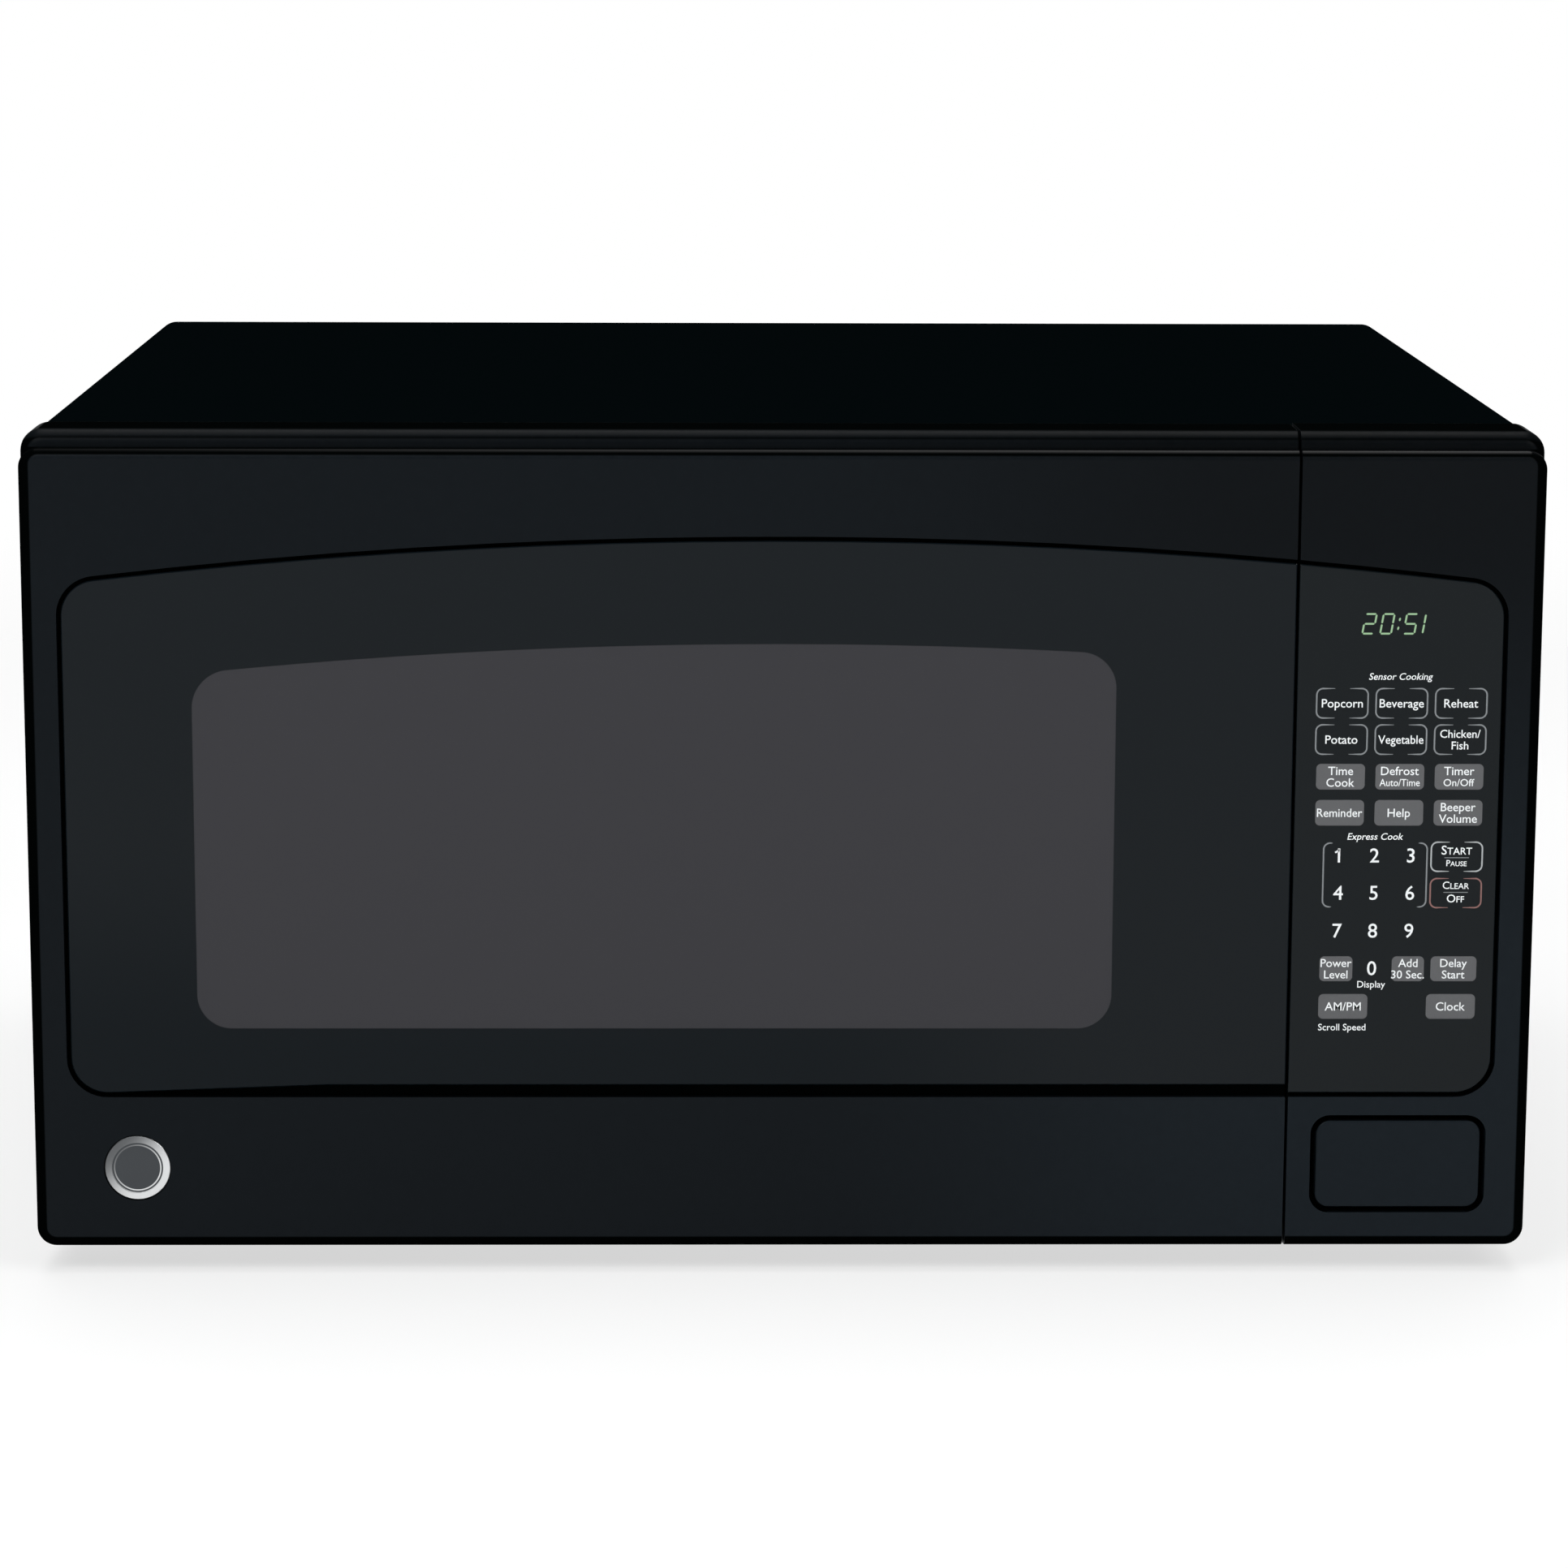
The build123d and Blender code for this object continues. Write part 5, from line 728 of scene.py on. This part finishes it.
# %% Punched patches in the oven's walls
punch_pitch = 4.5 * mm
punch_radius, punch_blur = 1.4 * mm, 0.1 * mm
patch_half = {"Y": 20.25 * mm, "Z": 15.75 * mm}
wall_cosines = (0.8, 0.95)
lamp_low, lamp_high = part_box("cavity_lamp")
lamp_centre = (lamp_low + lamp_high) / 2
patch_middle = {"Y": lamp_centre.y, "Z": lamp_centre.z}

tree = finishes["oven_enamel"].node_tree
enamel = tree.nodes["Principled BSDF"]
place = add_node(tree, "TexCoord").outputs
where = add_node(tree, "SeparateXYZ", [place["Object"]]).outputs
way = add_node(tree, "SeparateXYZ", [place["Normal"]]).outputs
sideways = add_node(tree, "Math", [way["X"]], operation="ABSOLUTE")
patch = add_node(tree, "MapRange", [sideways, *wall_cosines], **smooth)
squares = []
for axis, half in patch_half.items():
    along = add_node(tree, "Math", [where[axis], patch_middle[axis]], operation="SUBTRACT")
    cells = add_node(tree, "Math", [along, punch_pitch], operation="DIVIDE")
    part = add_node(tree, "Math", [cells], operation="FRACT")
    centred = add_node(tree, "Math", [part, 0.5], operation="SUBTRACT")
    real = add_node(tree, "Math", [centred, punch_pitch], operation="MULTIPLY")
    squares.append(add_node(tree, "Math", [real, 2.0], operation="POWER"))
    off_middle = add_node(tree, "Math", [along], operation="ABSOLUTE")
    within = add_node(tree, "Math", [off_middle, half], operation="LESS_THAN")
    patch = add_node(tree, "Math", [patch, within], operation="MULTIPLY")
square = add_node(tree, "Math", squares, operation="ADD")
to_hole = add_node(tree, "Math", [square], operation="SQRT")
hole_ends = (punch_radius + punch_blur, punch_radius - punch_blur)
hole = add_node(tree, "MapRange", [to_hole, *hole_ends], **smooth)
painted_hole_shade = add_node(tree, "Math", [patch, hole], operation="MULTIPLY")
paint = enamel.inputs["Base Color"].links[0].from_socket
# Painted shade: each hole is a dark dot in the enamel, not an opening.
colour = add_node(tree, "Mix", [painted_hole_shade, paint, linear("#0C0C0B")], data_type="RGBA")
tree.links.new(colour.outputs[2], enamel.inputs["Base Color"])
print("punched patch:", [round(2 * half / punch_pitch) for half in patch_half.values()], "holes")

# %% [markdown]
# The spring above the door's hooks is wound from round wire, so its surface is a small circle
# carried along a helix: one angle runs round the wire and a second one runs along it. It rides on
# the latch slide.

# %% Wound latch spring
wire_radius, wire_sides = 0.7 * mm, 12
spring_turns, steps_per_turn = 5, 24
spring_low, spring_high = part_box("latch_spring")
spring_middle = (spring_low + spring_high) / 2
spring_length = spring_high.z - spring_low.z
coil_radius = (spring_high.x - spring_low.x) / 2 - wire_radius
steps = spring_turns * steps_per_turn + 1

around = np.arange(wire_sides) * math.tau / wire_sides
along = np.linspace(0, spring_turns * math.tau, steps)
around, along = np.meshgrid(around, along, indexing="ij")
reach = coil_radius + wire_radius * np.cos(around)
climb = (spring_length - 2 * wire_radius) * along / (spring_turns * math.tau)
spring_points = np.stack(
    [
        spring_middle.x + reach * np.cos(along),
        spring_middle.y + reach * np.sin(along),
        spring_low.z + wire_radius + climb + wire_radius * np.sin(around),
    ],
    -1,
)
point_numbers = np.arange(wire_sides * steps).reshape(wire_sides, steps)
spring_ends = [point_numbers[:, 0].tolist(), point_numbers[::-1, -1].tolist()]
spring_faces = grid_faces(wire_sides, steps, True).tolist() + spring_ends
spring = new_surface("wound_spring", spring_points, spring_faces, finishes["oiled_spring_steel"])
spring.data.shade_smooth()
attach(spring, "latch_slide")
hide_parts("latch_spring")
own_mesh(spring)

# %% [markdown]
# The keypad is flat: frames, grey keys, numbers and words are ink on the film. Each print is a
# very thin sheet of its own, so its edge stays sharp. Frames and keys lie three hundredths of a
# millimetre in front of the film, and the words as much again in front of the keys. A frame is a
# ribbon carried along half a rounded rectangle, and a filled key is the same outline shrunk step by
# step towards its centre.

# %% Outlines for the prints
ink_step = 0.03 * mm
corner_steps, thin_end = 8, 0.3
key_points, key_rings, key_hub = 32, 4, 0.01
film_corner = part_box("keypad_overlay")[0]
ink_y = film_corner.y - ink_step


def half_frame(centre, size, corner, gap, stroke, side):
    """A ribbon along half a rounded rectangle, open at mid top and mid foot.

    A point at angle t is a corner's centre plus its radius times (cos t, sin t), and the ribbon's
    edges lie half a stroke to either side of that radius. Its two ends thin out to a third.
    """
    quarter = np.linspace(0.5, 0.0, corner_steps) * math.pi
    t = np.concatenate([[math.pi / 2], quarter, -quarter[::-1], [-math.pi / 2]])[:, None]
    reach = np.full_like(t, size[0] / 2 - corner)
    reach[[0, -1]] = gap / 2
    lift = np.repeat([[size[1] / 2 - corner], [corner - size[1] / 2]], corner_steps + 1, axis=0)
    width = np.full_like(t, stroke)
    width[[0, -1]] = thin_end * stroke
    radius = corner + width * np.array([[-0.5, 0.5]])
    x = centre[0] + side * (reach + radius * np.cos(t))
    z = centre[1] + lift + radius * np.sin(t)
    return np.stack([x, z], -1), grid_faces(len(t), 2, False)


def filled_key(centre, size, corner):
    """A rounded rectangle, filled by its own outline times a factor from near 0 up to 1."""
    t = (np.arange(key_points) + 0.5) * math.tau / key_points
    x = np.sign(np.cos(t)) * (size[0] / 2 - corner) + corner * np.cos(t)
    z = np.sign(np.sin(t)) * (size[1] / 2 - corner) + corner * np.sin(t)
    grow = np.linspace(key_hub, 1, key_rings)
    points = np.stack([centre[0] + np.outer(x, grow), centre[1] + np.outer(z, grow)], -1)
    return points, grid_faces(key_points, key_rings, True)


print("ink lies at y =", round(ink_y / mm, 3), "mm")

# %% [markdown]
# Many small shapes in one ink become one mesh. Shapes are worked out in millimetres across and up
# from the film's lower left corner; the mesh gets metres, at the ink's depth, and any face that
# looks inwards is turned round.

# %% One mesh for each ink


def ink_print(name, shapes, material, body, depth):
    """Joins flat shapes, each (points across and up in mm, faces), into one sheet that faces forward.

    A face looks forward where the cross product of its first two edges, across and up, is positive.
    """
    points, faces, start = [], [], 0
    for flat, corners in shapes:
        flat = flat.reshape(-1, 2)
        first, second, third = (flat[corners[:, i]] for i in range(3))
        one, two = second - first, third - first
        inwards = one[:, 0] * two[:, 1] - one[:, 1] * two[:, 0] < 0
        corners = np.where(inwards[:, None], corners[:, ::-1], corners)
        x, z = film_corner.x + flat[:, 0] * mm, film_corner.z + flat[:, 1] * mm
        points.append(np.stack([x, np.full(len(flat), depth), z], -1))
        faces.extend((corners + start).tolist())
        start += len(flat)
    piece = new_surface(name, np.concatenate(points), faces, material)
    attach(piece, body)


print("film's lower left corner, mm:", [round(v / mm, 1) for v in film_corner])

# %% [markdown]
# Screen ink is matt and a little uneven, because the mesh of the screen leaves dots. They are drawn
# half a millimetre apart, coarser than real ones, so that they show. There are five inks: white for
# words, a silver and a paler silver for the frames, grey for the filled keys, and a dull red for the
# key that stops the oven.

# %% Screen inks
ink_look = {"gloss": (0.45, 0.6), "relief": 0.002, "edge": 0.02, "shader": {"Specular IOR Level": 0.2}}
dot_size = 0.5
inks = {
    "white": ("#E4E8EA", "#F0F3F4", "#F4F6F6"),
    "silver": ("#7C8083", "#868A8D", "#909496"),
    "pale_silver": ("#A4A8AA", "#AEB2B4", "#B8BCBE"),
    "grey": ("#58595B", "#606163", "#6A6B6D"),
    "dull_red": ("#84605C", "#8E6A66", "#987470"),
}
ink = {
    name: grained_finish(name + "_screen_ink", main, fleck, grain=dot_size, polish=polish, **ink_look)
    for name, (main, fleck, polish) in inks.items()
}
print("inks:", ", ".join(ink))

# %% [markdown]
# The keys stand in three columns about 24 mm apart. Six framed keys come first, then six grey
# ones, then the numbers with two framed keys beside them, and grey keys again at the foot. A fine
# line parts the two words on each of the framed keys beside the numbers.

# %% Framed keys
columns = (18.3, 42.4, 66.5)
framed_rows = (162.1, 147.2)
framed_size, framed_corner, frame_gap, stroke = (20.8, 12.1), 2.6, 6.0, 0.6
start_row, stop_row = 98.8, 83.7
number_block = ((33.3, 91.2), (42.2, 26.5), 35.0)
parting_size, parting_corner, parting_rows = (10.0, 0.3), 0.1, (start_row - 0.4, stop_row + 0.3)


def key_frame(centre, size, gap):
    """Both halves of one frame."""
    return [half_frame(centre, size, framed_corner, gap, stroke, side) for side in (-1, 1)]


framed_keys = [((x, z), framed_size, frame_gap) for z in framed_rows for x in columns]
frames = [half for key in [*framed_keys, number_block] for half in key_frame(*key)]
frames += [filled_key((columns[2], z), parting_size, parting_corner) for z in parting_rows]
ink_print("key_frames", frames, ink["silver"], "chassis", ink_y)
large_keys = {"start_key_frame": (start_row, "pale_silver"), "stop_key_frame": (stop_row, "dull_red")}
for name, (z, shade) in large_keys.items():
    halves = key_frame((columns[2], z), framed_size, frame_gap)
    ink_print(name, halves, ink[shade], "chassis", ink_y)

# %% [markdown]
# The grey keys differ in width, as the words on them do: the low row leaves room for the zero, and
# the two keys at the foot stand a little further in.

# %% Grey keys
grey_rows, grey_size, grey_corner = (131.9, 117.0), (19.8, 10.6), 2.0
low_row, low_columns, low_widths = 52.1, (18.4, 47.8, 66.5), (13.5, 13.2, 18.8)
foot_row, foot_columns, foot_width = 36.3, (21.6, 65.7), 20.1
low_height = 10.4

grey_places = [((x, z), grey_size) for z in grey_rows for x in columns]
grey_places += [((x, low_row), (width, low_height)) for x, width in zip(low_columns, low_widths)]
grey_places += [((x, foot_row), (foot_width, low_height)) for x in foot_columns]
grey_keys = [filled_key(centre, size, grey_corner) for centre, size in grey_places]
ink_print("grey_keys", grey_keys, ink["grey"], "chassis", ink_y)

# %% [markdown]
# Numbers and the plain words on the keys come from Blender's own typeface. A text object is
# turned into a mesh first, then scaled to its height in millimetres, narrowed if its key is too
# small for it, leant over where the print is slanted, and moved to its place. The keys that start
# and stop the oven are set in small capitals.

# %% Letters as meshes
cap_height, boldness = 0.68, 0.006
curve_steps, small_share = 3, 0.78


def printed_word(text, x, z, height, widest=math.inf, slant=0.0, small_caps=False):
    """A word centred on (x, z) in mm, with capitals of that height.

    Across, it is shrunk to the widest size if need be, then leant by slant times the height of each
    point above the word's foot.
    """
    curve = bpy.data.curves.new("word", "FONT")
    curve.body = text
    curve.small_caps_scale = small_share
    for letter in curve.body_format:
        letter.use_small_caps = small_caps
    curve.resolution_u = curve_steps
    curve.offset = boldness
    letters = bpy.data.objects.new("word", curve)
    mesh = bpy.data.meshes.new_from_object(letters)
    mesh.calc_loop_triangles()
    points = np.zeros(len(mesh.vertices) * 3)
    corners = np.zeros(len(mesh.loop_triangles) * 3, int)
    mesh.vertices.foreach_get("co", points)
    mesh.loop_triangles.foreach_get("vertices", corners)
    flat = points.reshape(-1, 3)[:, :2] * height / cap_height
    low, high = flat[:, 0].min(), flat[:, 0].max()
    across = (flat[:, 0] - (low + high) / 2) * min(1.0, widest / (high - low))
    flat = np.stack([x + across + slant * flat[:, 1], z - height / 2 + flat[:, 1]], -1)
    bpy.data.objects.remove(letters)
    bpy.data.curves.remove(curve)
    bpy.data.meshes.remove(mesh)
    return flat, corners.reshape(-1, 3)


number_columns, number_rows = (18.5, 33.0, 47.8), (99.3, 83.8, 68.0)
number_height, zero_lift = 5.7, 0.2
numbers = [
    printed_word(str(3 * row + column + 1), x, z, number_height)
    for row, z in enumerate(number_rows)
    for column, x in enumerate(number_columns)
]
numbers.append(printed_word("0", number_columns[1], low_row + zero_lift, number_height))
# A flag at the top of the stem of the 1, as one face with four corners
flag = np.array([[-1.8, 1.5], [-1.4, 0.9], [0.2, 1.8], [0.2, 2.8]])
numbers.append((flag + (number_columns[0], number_rows[0]), np.arange(4)[None, :]))
print("shapes for the numbers:", len(numbers))

# %% [markdown]
# The words follow their keys: one or two lines on a key, headings over a group, notes under a key.
# In the small capitals, each word stands on a foot line of its own, off the middle of its key.

# %% Numbers and words
left, middle, right = columns
word_height, note_height = 3.4, 2.7
one_line_width, two_line_width = 18.4, 16.4
line_lift, heading_slant = 2.4, 0.2
one_line = {
    "Popcorn": (left, framed_rows[0]),
    "Beverage": (middle, framed_rows[0]),
    "Reheat": (right, framed_rows[0]),
    "Potato": (left, framed_rows[1]),
    "Vegetable": (middle, framed_rows[1]),
    "Reminder": (left, grey_rows[1]),
    "Help": (middle, grey_rows[1]),
    "AM/PM": (foot_columns[0], foot_row),
    "Clock": (foot_columns[1], foot_row),
}
two_lines = {
    ("Chicken/", "Fish"): (right, framed_rows[1], 3.2, 3.2),
    ("Time", "Cook"): (left, grey_rows[0], 3.4, 3.4),
    ("Defrost", "Auto/Time"): (middle, grey_rows[0], 3.4, 2.9),
    ("Timer", "On/Off"): (right, grey_rows[0], 3.4, 2.9),
    ("Beeper", "Volume"): (right, grey_rows[1], 3.4, 3.4),
    ("Power", "Level"): (low_columns[0], low_row, 3.3, 3.3),
    ("Add", "30 Sec."): (low_columns[1], low_row, 3.3, 3.3),
    ("Delay", "Start"): (low_columns[2], low_row, 3.3, 3.3),
}
capitals = {
    "Start": (start_row + 0.95, 3.6),
    "Pause": (start_row - 3.9, 2.5),
    "Clear": (stop_row + 1.75, 3.0),
    "Off": (stop_row - 3.85, 3.2),
}
headings = {"Sensor Cooking": (41.6, 173.1), "Express Cook": (33.0, 107.2)}
notes = {"Display": (33.0, 45.6), "Scroll Speed": (21.4, 27.6)}

words = [printed_word(text, x, z, word_height, widest=one_line_width) for text, (x, z) in one_line.items()]
for (upper, lower), (x, z, upper_height, lower_height) in two_lines.items():
    words.append(printed_word(upper, x, z + line_lift, upper_height, widest=two_line_width))
    words.append(printed_word(lower, x, z - line_lift, lower_height, widest=two_line_width))
for text, (foot, height) in capitals.items():
    words.append(printed_word(text, right, foot + height / 2, height, small_caps=True))
words += [printed_word(text, x, z, note_height, slant=heading_slant) for text, (x, z) in headings.items()]
words += [printed_word(text, x, z, note_height) for text, (x, z) in notes.items()]
ink_print("numbers_and_words", numbers + words, ink["white"], "chassis", ink_y - ink_step)

# %% [markdown]
# The clock shows through the film in slanted figures of seven bars. Each bar is one flat hexagon,
# lying or standing, and a figure is the list of its lit bars.

# %% Bars of the clock
figure_width, figure_height = 4.4, 8.0
bar_width, bar_gap = 0.75, 0.3
lean = 0.16
clock_centre = (38.6, 194.6)


def clock_bar(x, z, length, standing):
    """A hexagon: a strip of the bar's width with a point at each end, then x leant by lean times z."""
    along = np.array([-0.5, -0.5, 0.5, 0.5, 0.5, -0.5]) * length
    along += np.array([0.0, 0.5, -0.5, 0.0, -0.5, 0.5]) * bar_width
    aside = np.array([0.0, 0.5, 0.5, 0.0, -0.5, -0.5]) * bar_width
    flat = np.stack([x + aside, z + along] if standing else [x + along, z + aside], -1)
    flat[:, 0] += lean * flat[:, 1]
    return flat + np.array(clock_centre), np.arange(6)[None, :]


side, quarter = figure_width / 2, figure_height / 4
long_bar, short_bar = figure_width - bar_gap, 2 * quarter - bar_gap
bars = {
    "top": (0.0, 2 * quarter, long_bar, False),
    "waist": (0.0, 0.0, long_bar, False),
    "foot": (0.0, -2 * quarter, long_bar, False),
    "upper_left": (-side, quarter, short_bar, True),
    "upper_right": (side, quarter, short_bar, True),
    "lower_left": (-side, -quarter, short_bar, True),
    "lower_right": (side, -quarter, short_bar, True),
}
lit_bars = {
    "0": "top foot upper_left upper_right lower_left lower_right",
    "1": "upper_right lower_right",
    "2": "top waist foot upper_right lower_left",
    "5": "top waist foot upper_left lower_right",
}
print("bars of a figure:", ", ".join(bars))

# %% [markdown]
# The bars glow green by themselves, behind the fine grid of wires that such tubes have in front. The
# wires are drawn coarser than real ones, so that they show.

# %% Clock figures
shown_time, figure_places = "2051", (-10.1, -2.9, 6.5, 9.8)
dot_place, dot_rise, dot_length = 1.8, 1.8, 1.5
wire_pitch = 0.9 * mm

clock = []
for figure, shift in zip(shown_time, figure_places):
    for name in lit_bars[figure].split():
        x, z, length, standing = bars[name]
        clock.append(clock_bar(shift + x, z, length, standing))
clock += [clock_bar(dot_place, z, dot_length, True) for z in (-dot_rise, dot_rise)]

glow, tree = open_material("green_fluorescent_tube")
place = add_node(tree, "TexCoord").outputs["Object"]
wires = add_node(tree, "TexWave", {"Vector": place, "Scale": 1 / wire_pitch}, bands_direction="X")
light = add_node(tree, "MapRange", {"Value": wires.outputs["Fac"], "To Min": 0.75, "To Max": 1.0})
coating = {"Base Color": linear("#1E3A18"), "Roughness": 0.4, "Emission Color": linear("#9CBE98")}
tube = add_node(tree, "BsdfPrincipled", {**coating, "Emission Strength": light})
add_node(tree, "OutputMaterial", {"Surface": tube})
ink_print("clock_figures", clock, glow, "chassis", ink_y)

# %% Finish
print("CAD box:", [[round(v, 4) for v in c] for c in cad_box])
